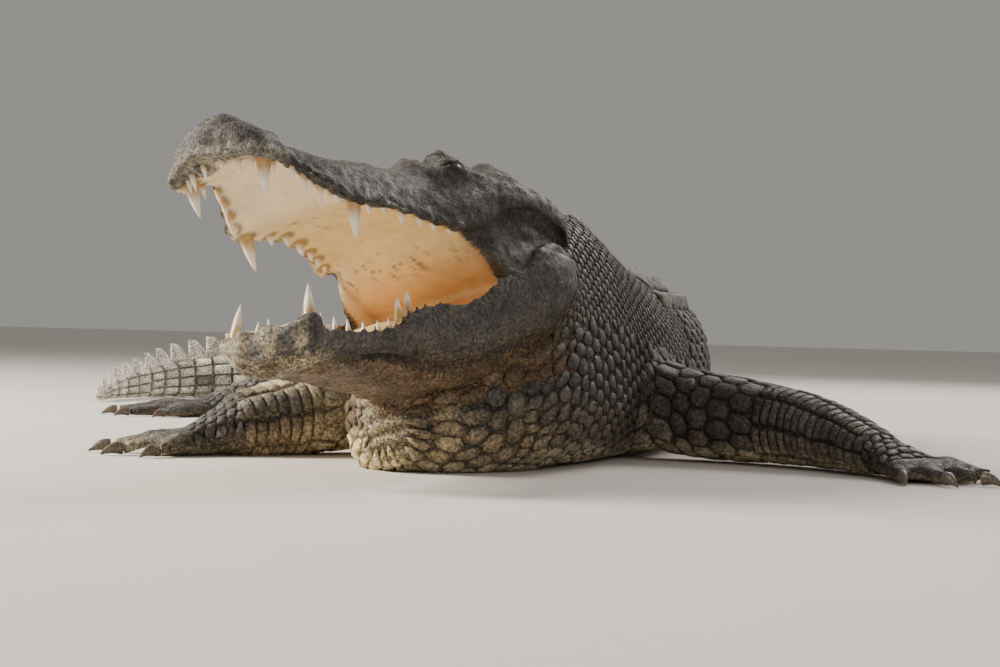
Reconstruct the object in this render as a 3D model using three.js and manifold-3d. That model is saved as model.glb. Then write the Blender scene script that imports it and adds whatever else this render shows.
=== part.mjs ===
// A life-size West African crocodile, 2.8 m long, resting on its belly with its head raised and turned and its
// jaws wide open. Millimetres, +Z up, the floor at z = 0 and the origin in the middle of the belly's flat.
// The trunk lies along +Y, tail away from the viewer, and the head is turned to the animal's right, to -X -Y.
import * as THREE from "three";
import { mergeVertices } from "three/addons/utils/BufferGeometryUtils.js";
import Module from "manifold-3d";

const wasm = await Module();
wasm.setup();

// ---------------------------------------------------------------- driving dimensions
const GAP = 0.3; // clearance kept between neighbouring pieces
const HEAD_GAP = 1; // clearance round the head inside the neck
const HEAD = 400; // snout tip to the rear of the skull table
const HEAD_AT = [-95, -571.5, 165]; // rear of the palate, on the midline
const HEAD_TURN = 58.4; // degrees from -X towards -Y
const HEAD_PITCH = 12.1; // degrees, snout up
const HEAD_ROLL = 15.8; // degrees, the animal's left side up
const GAPE = 18.9; // degrees between the jaws
const HINGE = [-0.06, 0.02]; // jaw hinge, x and z in head lengths
const EYE_AT = [0.29, 0.122, 0.162]; // centre of the left eyeball, in head lengths
const EYE_RADIUS = 0.04;

// The spine in plan, from the front of the throat to the tip of the tail.
const SPINE = [
  [-163, -682], [-97, -571], [-62, -488], [-36, -400], [-6, -310], [12, -200], [20, -50], [10, 200],
  [-20, 420], [-60, 680], [-140, 880], [-280, 1040], [-460, 1100], [-610, 1030], [-690, 870], [-705, 690],
];
const THROAT = -129; // where the spine starts, measured from the skull's rear
// Distance behind the skull, half width, top, height of the widest part, bottom before the floor cuts it, roll
// and how square the section is, from 1 for round to 0 for a box.
const BODY = [
  [-129, 34, 90, 48, 6, 8, 0.8],
  [-100, 70, 114, 50, -6, 9, 0.75],
  [-50, 98, 150, 62, -12, 10, 0.66],
  [0, 112, 224, 76, -14, 10, 0.62],
  [60, 114, 250, 84, -15, 8, 0.6],
  [120, 116, 250, 84, -16, 5, 0.6],
  [200, 122, 232, 82, -17, 2, 0.72],
  [290, 130, 210, 78, -19, 0, 0.84],
  [400, 147, 207, 76, -21, 0, 0.9],
  [550, 166, 210, 76, -22, 0, 0.9],
  [700, 170, 210, 76, -22, 0, 0.88],
  [850, 150, 196, 74, -18, 0, 0.84],
  [960, 120, 176, 70, -15, 0, 0.8],
  [1060, 98, 158, 66, -12, 0, 0.78],
  [1200, 78, 138, 58, -9, 0, 0.76],
  [1400, 60, 122, 52, -7, 0, 0.74],
  [1600, 47, 108, 46, -6, 0, 0.76],
  [1800, 35, 94, 40, -5, 0, 0.8],
  [2000, 24, 78, 33, -4, 0, 0.8],
  [2200, 14, 50, 24, -3, 0, 0.85],
  [2350, 8, 27, 14, -2, 0, 0.9],
  [2422, 3, 12, 6, -1, 0, 0.9],
];
const NECK_END = 215;
const TRUNK_END = 1130;
const TAIL_CUTS = [TRUNK_END, 1500, 1880, 2422];
// Whorls of scales along the tail, the one where its two crests join into one, and where the whorls end.
const WHORLS = 34;
const CREST_JOIN = 18;
const CREST_END = 2400;
// Fins: height of the first pair and what each pair adds, height of the first single one and what each loses.
const CREST = { pair: 15, rise: 1.7, single: 46, fall: 2.1, thick: 5, edge: 1.5, sweep: 7 };

// Upper jaw and skull, in head lengths: x, half width at the lip, lip, top, roundness of the flank and top.
const SKULL = [
  [-0.115, 0.16, 0.075, 0.17, 0.8, 0.7],
  [-0.08, 0.225, 0.07, 0.2, 0.95, 0.62],
  [0.0, 0.25, 0.088, 0.212, 1.1, 0.55],
  [0.12, 0.248, 0.1, 0.216, 1.15, 0.52],
  [0.22, 0.232, 0.075, 0.202, 1.15, 0.55],
  [0.3, 0.212, 0.018, 0.186, 1.12, 0.6],
  [0.36, 0.197, -0.006, 0.164, 1.05, 0.62],
  [0.45, 0.166, 0.004, 0.142, 0.92, 0.7],
  [0.56, 0.15, 0.008, 0.126, 0.85, 0.75],
  [0.65, 0.15, -0.016, 0.108, 0.82, 0.78],
  [0.72, 0.155, -0.034, 0.094, 0.8, 0.8],
  [0.8, 0.124, -0.004, 0.086, 0.8, 0.8],
  [0.865, 0.096, 0.028, 0.084, 0.8, 0.8],
  [0.915, 0.126, 0.004, 0.09, 0.8, 0.75],
  [0.965, 0.12, -0.002, 0.09, 0.8, 0.72],
  [1.0, 0.084, 0.008, 0.08, 0.8, 0.75],
  [1.018, 0.036, 0.022, 0.06, 0.9, 0.9],
];
// Swellings on top of the skull: x, distance from the midline, length, width and height, in head lengths.
const SWELLINGS = [
  [0.95, 0, 0.055, 0.08, 0.036], // nostrils
  [0.54, 0, 0.06, 0.05, 0.03], // boss on the snout
  [0.27, 0.1, 0.055, 0.055, 0.074], // brow
  [0.135, 0.14, 0.055, 0.05, 0.045], // corner of the skull table
  [0.375, 0.075, 0.04, 0.05, 0.05], // ridge in front of the eye
];
// Lower jaw, closed, in head lengths: x, half width, rim, underside, depth of the mouth's floor below the rim.
const MANDIBLE = [
  [-0.175, 0.15, -0.02, -0.1, 0],
  [-0.13, 0.205, 0.0, -0.14, 0],
  [-0.04, 0.246, 0.045, -0.168, 0],
  [0.08, 0.26, 0.08, -0.18, 0.01],
  [0.2, 0.246, 0.05, -0.186, 0.06],
  [0.32, 0.215, 0.004, -0.19, 0.05],
  [0.42, 0.176, 0.006, -0.182, 0.05],
  [0.52, 0.152, 0.014, -0.162, 0.05],
  [0.64, 0.132, -0.014, -0.126, 0.042],
  [0.76, 0.112, -0.018, -0.1, 0.022],
  [0.83, 0.1, -0.012, -0.09, 0.008],
  [0.885, 0.112, 0.014, -0.082, 0.004],
  [0.93, 0.092, 0.0, -0.068, 0],
  [0.962, 0.046, -0.02, -0.05, 0],
];
// Teeth: x, distance from the midline, gum height, length and width of the crown, in head lengths.
const UPPER_TEETH = [
  [0.982, 0.024, 0.01, 0.03, 0.014], [0.975, 0.058, 0.006, 0.036, 0.016], [0.962, 0.078, 0.006, 0.03, 0.015],
  [0.937, 0.09, 0.0, 0.064, 0.03], [0.903, 0.088, 0.01, 0.026, 0.014], [0.848, 0.094, 0.016, 0.028, 0.014],
  [0.82, 0.102, 0.004, 0.036, 0.017], [0.788, 0.115, -0.01, 0.042, 0.02], [0.752, 0.132, -0.022, 0.02, 0.026],
  [0.702, 0.137, -0.028, 0.074, 0.032], [0.63, 0.127, -0.01, 0.018, 0.02], [0.57, 0.127, 0.004, 0.018, 0.022],
  [0.513, 0.132, 0.005, 0.024, 0.024], [0.46, 0.143, 0.001, 0.014, 0.02], [0.42, 0.152, -0.002, 0.012, 0.02],
  [0.377, 0.165, -0.002, 0.01, 0.018],
];
const LOWER_TEETH = [
  [0.93, 0.018, -0.014, 0.044, 0.018], [0.92, 0.046, -0.018, 0.01, 0.014], [0.9, 0.07, -0.01, 0.01, 0.014],
  [0.886, 0.092, 0.012, 0.066, 0.028], [0.84, 0.086, -0.01, 0.028, 0.016], [0.8, 0.09, -0.018, 0.024, 0.014],
  [0.76, 0.095, -0.026, 0.022, 0.014], [0.715, 0.102, -0.034, 0.018, 0.014], [0.67, 0.11, -0.036, 0.016, 0.014],
  [0.635, 0.116, -0.034, 0.014, 0.014], [0.6, 0.124, -0.01, 0.03, 0.02], [0.565, 0.129, -0.004, 0.034, 0.02],
  [0.5, 0.136, -0.02, 0.01, 0.016], [0.45, 0.147, -0.024, 0.01, 0.014],
];
const LOWER_LEAN = 0.55; // how far the lower crowns lean back, against their length
const TOOTH_ROOT = 0.022; // how deep a tooth stands in the gum
const BIG_TOOTH = 0.05; // longer teeth have a fuller crown
// The cheeks: free edge where it meets the jaws, how far it draws back between them and how round that curve is
// below and above, how far forward the flesh in the middle reaches, the rear, how far the sides stand in from the
// skull and what they lose halfway up, and the height of the top and bottom.
const CHEEKS = {
  tip: 0.35, drawn: 0.105, below: 1.6, above: 0.8, throat: 0.12, palate: 0.38, palateAt: 0.62, rear: -0.13,
  recess: 0.022, pinch: 0.012, top: 0.16, bottom: -0.035,
};

// Limbs: joints as x, y, z, half width, half height. The last joint is the wrist or ankle.
const LIMBS = {
  front_left: {
    names: ["upper_arm", "forearm", "hand"],
    joints: [[70, -380, 60, 58, 50], [140, -405, 48, 54, 47], [236, -478, 38, 44, 38], [292, -578, 21, 30, 22]],
    heading: -54, digits: [[-40, 62], [-19, 78], [2, 84], [23, 74], [44, 56]], palm: 34, digit: 12,
  },
  front_right: {
    names: ["upper_arm", "forearm", "hand"],
    joints: [
      [-80, -352, 80, 54, 52], [-145, -378, 64, 50, 50], [-240, -440, 42, 42, 42], [-330, -502, 26, 30, 28],
    ],
    heading: 188, digits: [[46, 60], [22, 76], [-2, 82], [-26, 72], [-48, 54]], palm: 34, digit: 12.5,
  },
  hind_left: {
    names: ["thigh", "shank", "foot"],
    joints: [[40, 420, 76, 62, 50], [105, 372, 66, 60, 48], [205, 318, 46, 42, 42], [214, 500, 23, 28, 24]],
    heading: 76, digits: [[-30, 96], [-10, 120], [9, 122], [28, 102]], palm: 40, digit: 13,
  },
  hind_right: {
    names: ["thigh", "shank", "foot"],
    joints: [[-70, 420, 76, 62, 50], [-150, 372, 66, 60, 48], [-300, 288, 44, 42, 42], [-440, 344, 23, 29, 24]],
    heading: 206, digits: [[30, 96], [10, 120], [-9, 122], [-28, 102]], palm: 40, digit: 13,
  },
};
// Where the rings of a palm stand, against its length, and how they spread, flatten and sink from the wrist.
const PALM = [[0.018, 0.94, 0.94, 1], [0.45, 1.12, 0.8, 0.78], [1, 1.3, 0.6, 0.56], [1.5, 1.15, 0.4, 0.4]];
// Rings of a digit: distance, as millimetres from its root or a share of its length, thickness and height.
const DIGIT = [[-8, 0, 0.95, 10], [0, 0.5, 1, 11.5], [0, 1, 0.66, 7]];
const CLAWED = 3; // the inner three digits of every foot carry claws
const CLAW = [[GAP, 1, 7.2], [8, 0.75, 6.6], [22, 0.12, 1.2]]; // distance, thickness, height of its rings
const CLAW_WIDTH = 6.5;
const CLAW_SLIM = 0.8; // a claw is narrower than it is high

// How finely each form is divided: rings along it and points round it.
const FACETS = {
  skull: [0.08, 16], jaw: [0.1, 16], neck: [8, 16], trunk: [10, 16], tail: [[6, 14], [8, 12], [10, 8]],
  cheeks: [4, 16], tongue: [5, 8], upper: [4, 10], lower: [4, 10], palm: 7, digit: 5, claw: 4,
  eye: 9, tooth: 4,
};

const SKIN = { color: 0x5d564b, roughness: 0.8, metalness: 0 };
const MOUTH = { color: 0xd9b36a, roughness: 0.55, metalness: 0 };
const EYE = { color: 0x6b6132, roughness: 0.15, metalness: 0 };
const HORN = { color: 0x3a332b, roughness: 0.5, metalness: 0 };

// ---------------------------------------------------------------- helpers
const rad = THREE.MathUtils.degToRad;

// A smooth curve without overshoot through column c of a table whose first column rises or falls.
function track(rows, c) {
  const x = rows.map((r) => r[0]);
  const v = rows.map((r) => r[c]);
  const slope = x.slice(1).map((_, i) => (v[i + 1] - v[i]) / (x[i + 1] - x[i]));
  const tangent = v.map((_, i) => {
    if (i === 0) return slope[0];
    if (i === v.length - 1) return slope[i - 1];
    return slope[i - 1] * slope[i] <= 0 ? 0 : (2 * slope[i - 1] * slope[i]) / (slope[i - 1] + slope[i]);
  });
  return (at) => {
    const p = Math.min(Math.max(at, x[0]), x[x.length - 1]);
    const past = x.findIndex((k) => k > p);
    const i = past < 0 ? x.length - 2 : past - 1;
    const h = x[i + 1] - x[i];
    const t = (p - x[i]) / h;
    const a = v[i] * (1 + 2 * t) * (1 - t) ** 2 + v[i + 1] * t * t * (3 - 2 * t);
    return a + h * (tangent[i] * t * (1 - t) ** 2 - tangent[i + 1] * t * t * (1 - t));
  };
}

// A closed surface through rings of equal length, lists of Vector3 running anticlockwise seen from the start.
function loft(rings) {
  const n = rings[0].length;
  const points = [...rings.flat(), middle(rings[0]), middle(rings[rings.length - 1])];
  const faces = [];
  for (let r = 0; r < rings.length - 1; r++)
    for (let i = 0; i < n; i++) {
      const j = (i + 1) % n;
      faces.push(r * n + i, (r + 1) * n + j, r * n + j, r * n + i, (r + 1) * n + i, (r + 1) * n + j);
    }
  const last = (rings.length - 1) * n;
  for (let i = 0; i < n; i++) {
    const j = (i + 1) % n;
    faces.push(points.length - 2, i, j, points.length - 1, last + j, last + i);
  }
  return new THREE.BufferGeometry().setFromPoints(points).setIndex(faces);
}

function middle(ring) {
  return ring.reduce((sum, p) => sum.add(p), new THREE.Vector3()).divideScalar(ring.length);
}

// A three.js geometry as a solid, moved by a matrix if one is given.
function solid(geometry, matrix = new THREE.Matrix4()) {
  const flat = (geometry.index ? geometry.toNonIndexed() : geometry).getAttribute("position");
  const merged = mergeVertices(
    new THREE.BufferGeometry().setAttribute("position", flat.clone()).applyMatrix4(matrix), 1e-3);
  return new wasm.Manifold(new wasm.Mesh({
    numProp: 3, vertProperties: merged.attributes.position.array, triVerts: new Uint32Array(merged.index.array),
  }));
}

function geometryOf(made) {
  const mesh = made.getMesh();
  return new THREE.BufferGeometry()
    .setAttribute("position", new THREE.BufferAttribute(new Float32Array(mesh.vertProperties), 3))
    .setIndex(new THREE.BufferAttribute(new Uint32Array(mesh.triVerts), 1));
}

// The solid with its surface moved out, for cutting a neighbour clear of it.
function swollen(made, by = GAP * 1.4) {
  const geometry = geometryOf(made);
  const position = geometry.attributes.position;
  const at = upTo(position.count).map((i) => new THREE.Vector3().fromBufferAttribute(position, i));
  const outward = at.map(() => new THREE.Vector3());
  const index = geometry.index.array;
  for (let t = 0; t < index.length; t += 3) {
    const corners = [index[t], index[t + 1], index[t + 2]];
    const facing = new THREE.Triangle(...corners.map((i) => at[i])).getNormal(new THREE.Vector3());
    corners.forEach((i, k) => {
      const [next, last] = [corners[(k + 1) % 3], corners[(k + 2) % 3]].map((j) => at[j].clone().sub(at[i]));
      outward[i].addScaledVector(facing, next.angleTo(last));
    });
  }
  at.forEach((point, i) => position.setXYZ(i, ...point.addScaledVector(outward[i].normalize(), by).toArray()));
  return solid(geometry);
}

// The piece with the most faces, where a cut has left crumbs beside it.
function largest(made) {
  const { vertProperties, triVerts } = made.getMesh();
  const root = Array.from({ length: vertProperties.length / 3 }, (_, i) => i);
  const find = (i) => {
    while (root[i] !== i) i = root[i] = root[root[i]];
    return i;
  };
  for (let t = 0; t < triVerts.length; t += 3) {
    root[find(triVerts[t])] = find(triVerts[t + 1]);
    root[find(triVerts[t + 1])] = find(triVerts[t + 2]);
  }
  const pieces = new Map();
  for (let t = 0; t < triVerts.length; t += 3) {
    const key = find(triVerts[t]);
    pieces.set(key, [...(pieces.get(key) ?? []), ...triVerts.slice(t, t + 3)]);
  }
  const kept = [...pieces.values()].reduce((a, b) => (a.length > b.length ? a : b));
  return new wasm.Manifold(new wasm.Mesh({ numProp: 3, vertProperties, triVerts: new Uint32Array(kept) }));
}

const signed = (v, power) => Math.sign(v) * Math.abs(v) ** power;
const bell = (distance, reach) => Math.exp(-((distance / reach) ** 2));

// Numbers from 0 up to but not including count, and the angles of as many points round a circle.
const upTo = (count) => Array.from({ length: count }, (_, i) => i);
const round = (count) => upTo(count).map((i) => (2 * Math.PI * i) / count);

// ---------------------------------------------------------------- neck, trunk and tail
const spinePoints = SPINE.map(([x, y]) => new THREE.Vector3(x, y, 0));
const spine = new THREE.CatmullRomCurve3(spinePoints, false, "centripetal");
spine.arcLengthDivisions = 600;
const SPINE_LENGTH = spine.getLength();
const [halfWidth, top, widest, bottom, roll, square] = [1, 2, 3, 4, 5, 6].map((c) => track(BODY, c));

function bodyPlace(at) {
  const u = Math.min(1, Math.max(0, (at - THROAT) / SPINE_LENGTH));
  const along = spine.getTangentAt(u);
  return { centre: spine.getPointAt(u), along, left: new THREE.Vector3(along.y, -along.x, 0) };
}

// One cross-section of the body: a rounded box, rolled about the spine and cut flat by the floor.
function bodyRing(at, around) {
  const { centre, left } = bodyPlace(at);
  const tilt = rad(roll(at));
  return round(around).map((a) => {
    const up = Math.sin(a) >= 0;
    const side = halfWidth(at) * signed(Math.cos(a), square(at));
    const rise = (up ? top(at) - widest(at) : widest(at) - bottom(at)) * signed(Math.sin(a), up ? 0.8 : 0.7);
    const turned = side * Math.cos(tilt) - rise * Math.sin(tilt);
    const height = widest(at) + rise * Math.cos(tilt) + side * Math.sin(tilt);
    return centre.clone().addScaledVector(left, turned).setZ(Math.max(0, height));
  });
}

function bodyLength(from, to, steps, around) {
  return solid(loft(upTo(steps + 1).map((i) => bodyRing(from + ((to - from) * i) / steps, around))));
}

// The tail's crests: upright fins, one on each side of the first whorls and one on the midline of the rest.
function crestFins(from, to) {
  const pitch = (CREST_END - TRUNK_END) / WHORLS;
  const fins = [];
  for (let w = 0; w < WHORLS; w++) {
    const at = TRUNK_END + (w + 0.6) * pitch;
    if (at < from + pitch * 0.5 || at > to - pitch * 0.55) continue;
    const double = w < CREST_JOIN;
    const single = CREST.single - CREST.fall * (w - CREST_JOIN);
    const height = double ? CREST.pair + CREST.rise * w : single;
    const sunk = (double ? 0.16 : 0.1) * top(at); // how deep the fin's foot stands in the tail
    const { centre, along, left } = bodyPlace(at);
    for (const side of double ? [-1, 1] : [0]) {
      const out = side * halfWidth(at) * (0.62 - (0.5 * w) / CREST_JOIN);
      const foot = centre.clone().addScaledVector(left, out).setZ(top(at) - sunk);
      const half = pitch * 0.44;
      const ring = (shift, long, thick, z) => [[long, 0], [-long, thick], [-long, -thick]].map(([a, b]) =>
        foot.clone().addScaledVector(along, a + shift).addScaledVector(left, b).setZ(foot.z + z));
      const rings = [ring(0, half, CREST.thick, 0), ring(CREST.sweep, half * 0.45, CREST.edge, height + sunk)];
      fins.push(solid(loft(rings)));
    }
  }
  return fins;
}

// ---------------------------------------------------------------- head
const headFrame = new THREE.Group();
{
  const [turn, pitch, roll] = [HEAD_TURN, HEAD_PITCH, HEAD_ROLL].map(rad);
  const forward = new THREE.Vector3(-Math.cos(turn), -Math.sin(turn), Math.tan(pitch)).normalize();
  const level = new THREE.Vector3(0, 0, 1).cross(forward).normalize();
  const upright = forward.clone().cross(level);
  const left = level.clone().multiplyScalar(Math.cos(roll)).addScaledVector(upright, Math.sin(roll));
  const up = forward.clone().cross(left);
  headFrame.matrixAutoUpdate = false;
  headFrame.matrix.makeBasis(forward, left, up).setPosition(...HEAD_AT);
}

// Turns a point of the closed lower jaw down about the hinge.
function gaped([x, y, z], share = 1) {
  const g = rad(GAPE) * share;
  const dx = x - HINGE[0];
  const dz = z - HINGE[1];
  return [HINGE[0] + dx * Math.cos(g) + dz * Math.sin(g), y, HINGE[1] - dx * Math.sin(g) + dz * Math.cos(g)];
}

const inHead = ([x, y, z]) => new THREE.Vector3(x * HEAD, y * HEAD, z * HEAD);

function skullRing(x, around) {
  const [w, lip, roof, flank, crown] = [1, 2, 3, 4, 5].map((c) => track(SKULL, c)(x));
  const arch = 0.16 * w;
  const swelling = (y) => SWELLINGS.reduce(
    (sum, [cx, cy, long, wide, high]) => sum + high * bell(x - cx, long) * bell(Math.abs(y) - cy, wide), 0);
  return round(around).map((a) => {
    const [c, s] = [Math.cos(a), Math.sin(a)];
    const y = w * signed(c, s >= 0 ? flank : 0.6);
    const z = s >= 0 ? lip + (roof - lip) * s ** crown + s * swelling(y) : lip - 0.006 + arch * s ** 2;
    return inHead([x, y, z]);
  });
}

function mandibleRing(x, around) {
  const [w, rim, under, floor] = [1, 2, 3, 4].map((c) => track(MANDIBLE, c)(x));
  return round(around).map((a) => {
    const [c, s] = [Math.cos(a), Math.sin(a)];
    const z = s <= 0 ? rim + (rim - under) * signed(s, 0.75) : rim - floor * s ** 0.6;
    return inHead(gaped([x, w * signed(c, s <= 0 ? 0.75 : 0.5), z]));
  });
}

// Places for rings from the front end of a table back to its first row: every row and, between far ones, more.
function stations(rows, step) {
  const places = [rows[0][0]];
  for (let i = 1; i < rows.length; i++) {
    const [from, to] = [rows[i - 1][0], rows[i][0]];
    const parts = Math.ceil((to - from) / step);
    for (let k = 1; k <= parts; k++) places.push(from + ((to - from) * k) / parts);
  }
  return places.reverse();
}

// One tooth, a four-sided cone with its root in the gum, pointing down (-1) or up (1).
function tooth([x, y, z, long, wide], side, way) {
  const big = long > BIG_TOOTH;
  const lean = way > 0 ? LOWER_LEAN : 0;
  const geometry = new THREE.ConeGeometry(1, 1, FACETS.tooth, big ? 2 : 1);
  const position = geometry.attributes.position;
  for (let i = 0; i < position.count; i++) {
    const rise = position.getY(i) + 0.5; // 0 at the root and 1 at the point
    const half = 0.5 * wide * (rise > 0.3 && rise < 0.8 ? 1.35 : 1);
    const point = [
      x - way * position.getX(i) * half - lean * long * rise,
      side * (y - 0.08 * long * rise) + position.getZ(i) * half,
      z + way * (rise * (long + TOOTH_ROOT) - TOOTH_ROOT),
    ];
    position.setXYZ(i, ...inHead(way > 0 ? gaped(point) : point).toArray());
  }
  return solid(geometry);
}

function eyeball(side) {
  const [x, y, z] = EYE_AT;
  const geometry = new THREE.SphereGeometry(EYE_RADIUS * HEAD, FACETS.eye, Math.round(FACETS.eye * 0.6));
  return solid(geometry, new THREE.Matrix4().setPosition(inHead([x, side * y, z])));
}

const skullForm = () => solid(loft(stations(SKULL, FACETS.skull[0]).map((x) => skullRing(x, FACETS.skull[1]))));
const jawForm = () => solid(loft(stations(MANDIBLE, FACETS.jaw[0]).map((x) => mandibleRing(x, FACETS.jaw[1]))));

function makeHead(eyes) {
  let head = skullForm();
  for (const row of UPPER_TEETH) head = head.add(tooth(row, -1, -1)).add(tooth(row, 1, -1));
  for (const eye of eyes) head = head.subtract(swollen(eye));
  return largest(head);
}

function makeLowerJaw() {
  let jaw = jawForm();
  for (const row of LOWER_TEETH) jaw = jaw.add(tooth(row, -1, 1)).add(tooth(row, 1, 1));
  return largest(jaw);
}

// A section of the flesh between the jaws, turned about the hinge, from 0 on the lower jaw to 1 on the palate:
// its front is hollow or bulges between the free edges of the cheeks, and its sides follow the jaws' own widths.
function cheekRing(rise, around) {
  const { smoothstep, lerp } = THREE.MathUtils;
  const [lowerWide, upperWide] = [track(MANDIBLE, 1), track(SKULL, 1)];
  const open = Math.sin(Math.PI * rise);
  const tip = CHEEKS.tip - CHEEKS.drawn * open ** (rise < 0.5 ? CHEEKS.below : CHEEKS.above);
  const middle = lerp(CHEEKS.throat, CHEEKS.palate, smoothstep(rise, 0, CHEEKS.palateAt));
  return round(around).map((a) => {
    const [c, s] = [Math.cos(a), Math.sin(a)];
    const x = s >= 0 ? lerp(tip, CHEEKS.rear, s ** 0.3) : lerp(tip, middle, (-s) ** 0.6);
    const half = lerp(lowerWide(x), upperWide(x) - CHEEKS.recess, rise) - CHEEKS.pinch * open;
    const y = half * signed(c, s >= 0 ? 0.5 : 0.75);
    return inHead(gaped([x, y, lerp(CHEEKS.bottom, CHEEKS.top, rise)], 1 - rise));
  });
}

function makeCheeks() {
  const [steps, around] = FACETS.cheeks;
  return solid(loft(upTo(steps + 1).map((i) => cheekRing(1 - i / steps, around))));
}

function makeTongue() {
  const [steps, around] = FACETS.tongue;
  const [wide, rim, depth] = [1, 2, 4].map((c) => track(MANDIBLE, c));
  const rings = upTo(steps + 1).map((k) => {
    const x = 0.72 - (0.52 * k) / steps;
    const swell = Math.sqrt(Math.max(0.02, 1 - ((x - 0.46) / 0.265) ** 2));
    const half = Math.min(0.088, 0.72 * wide(x)) * swell;
    const level = rim(x) - depth(x) - 0.006;
    return round(around).map((a) =>
      inHead(gaped([x, half * Math.cos(a), level + 0.026 * swell * Math.sin(a)])));
  });
  return solid(loft(rings));
}

// ---------------------------------------------------------------- limbs
function limbRing(joints, t, around) {
  const p = Math.min(joints.length - 1.0001, Math.max(0, t));
  const places = joints.map(([x, y, z]) => new THREE.Vector3(x, y, z));
  const curve = new THREE.CatmullRomCurve3(places, false, "centripetal");
  const u = p / (joints.length - 1);
  const centre = curve.getPoint(u);
  const along = curve.getTangent(u).setZ(0).normalize();
  const left = new THREE.Vector3(along.y, -along.x, 0);
  const table = joints.map((j, i) => [i, j[3], j[4]]);
  const [wide, high] = [track(table, 1)(p), track(table, 2)(p)];
  return round(around).map((a) => centre.clone().addScaledVector(left, wide * signed(Math.cos(a), 0.9))
    .setZ(Math.max(0, centre.z + high * signed(Math.sin(a), 0.9))));
}

function limbLength(joints, from, to, steps, around) {
  return solid(loft(upTo(steps + 1).map((i) => limbRing(joints, from + ((to - from) * i) / steps, around))));
}

// A ring round a line that runs level from a point, by its half width, half height and its middle's height.
function levelRing(from, degrees, distance, half, tall, z, around) {
  const along = new THREE.Vector3(Math.cos(rad(degrees)), Math.sin(rad(degrees)), 0);
  const left = new THREE.Vector3(along.y, -along.x, 0);
  return round(around).map((a) => from.clone().addScaledVector(along, distance)
    .addScaledVector(left, half * Math.cos(a)).setZ(Math.max(0, z + tall * Math.sin(a))));
}

// A hand or foot: the palm spreads from the wrist and each digit leaves it at its own angle, tip down.
// A claw grows from the tip of each inner digit, curves down and rests its point on the floor.
function makeFoot({ joints, heading, digits, palm, digit }) {
  const [x, y, z, wide, high] = joints[joints.length - 1];
  const wrist = new THREE.Vector3(x, y, 0);
  let foot = solid(loft(PALM.map(([share, spread, flat, sunk]) =>
    levelRing(wrist, heading, share * palm, wide * spread, high * flat, z * sunk, FACETS.palm))));
  const claws = [];
  digits.forEach(([spread, long], k) => {
    const fan = rad(heading + spread * 0.75);
    const from = new THREE.Vector3(x + Math.cos(fan) * palm * 0.95, y + Math.sin(fan) * palm * 0.95, 0);
    const rings = DIGIT.map(([start, share, r, level]) => levelRing(
      from, heading + spread, start + share * long, r * digit, r * digit * 0.95, level, FACETS.digit));
    foot = foot.add(solid(loft(rings)));
    if (k >= CLAWED) return;
    claws.push(solid(loft(CLAW.map(([d, r, level]) => levelRing(from, heading + spread, long + d,
      CLAW_SLIM * r * CLAW_WIDTH, r * CLAW_WIDTH, level, FACETS.claw)))));
  });
  return { foot, claws };
}

// ---------------------------------------------------------------- assembly
const group = new THREE.Group();
headFrame.updateMatrixWorld(true);

function put(parent, name, made, look) {
  const mesh = new THREE.Mesh(geometryOf(made), new THREE.MeshStandardMaterial(look));
  mesh.name = name;
  parent.add(mesh);
}

const eyes = { eye_left: eyeball(1), eye_right: eyeball(-1) };
const cheekForm = makeCheeks();
const cheeks = largest(cheekForm.subtract(swollen(skullForm())).subtract(swollen(jawForm())));
const tongue = largest(makeTongue().subtract(swollen(jawForm())).subtract(swollen(cheekForm)));
put(headFrame, "head", makeHead(Object.values(eyes)), SKIN);
put(headFrame, "lower_jaw", makeLowerJaw(), SKIN);
put(headFrame, "cheeks", cheeks, MOUTH);
put(headFrame, "tongue", tongue, MOUTH);
for (const [name, eye] of Object.entries(eyes)) put(headFrame, name, eye, EYE);
group.add(headFrame);

const neckForm = bodyLength(THROAT, NECK_END - GAP / 2, ...FACETS.neck);
const inTheWay = [skullForm(), jawForm(), cheekForm].map((form) => swollen(form, HEAD_GAP))
  .reduce((all, form) => all.add(form));
const neck = largest(neckForm.subtract(solid(geometryOf(inTheWay), headFrame.matrix)));
put(group, "neck", neck, SKIN);
const trunk = bodyLength(NECK_END + GAP / 2, TRUNK_END - GAP / 2, ...FACETS.trunk);
put(group, "trunk", trunk, SKIN);
["tail_base", "tail_middle", "tail_end"].forEach((name, i) => {
  let length = bodyLength(TAIL_CUTS[i] + GAP / 2, TAIL_CUTS[i + 1] - GAP / 2, ...FACETS.tail[i]);
  for (const fin of crestFins(TAIL_CUTS[i], TAIL_CUTS[i + 1])) length = length.add(fin);
  put(group, name, length, SKIN);
});

const bodyCutters = [swollen(trunk), swollen(neckForm)];
for (const [where, limb] of Object.entries(LIMBS)) {
  const [upper, lower, end] = limb.names;
  const first = limbLength(limb.joints, 0, 1.97, ...FACETS.upper);
  const second = limbLength(limb.joints, 1.9, 2.998, ...FACETS.lower);
  const { foot, claws } = makeFoot(limb);
  const clear = (form, cutters) => largest(cutters.reduce((left, cutter) => left.subtract(cutter), form));
  put(group, `${upper}_${where}`, clear(first, bodyCutters), SKIN);
  put(group, `${lower}_${where}`, clear(second, [...bodyCutters, swollen(first)]), SKIN);
  put(group, `${end}_${where}`, clear(foot, [swollen(second)]), SKIN);
  claws.forEach((claw, k) => put(group, `claw_${k + 1}_${where}`, claw, HORN));
}

export default group;
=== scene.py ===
"""A life-size West African crocodile, resting with its jaws open: the skin, scales, teeth, eyes and claws that dress
its solids. Lengths are metres unless a name says otherwise. X is to the right, Y away from the viewer and Z up."""

import math

import bmesh
import bpy
import numpy as np
from mathutils import Matrix, Vector
from mathutils.bvhtree import BVHTree


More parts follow.
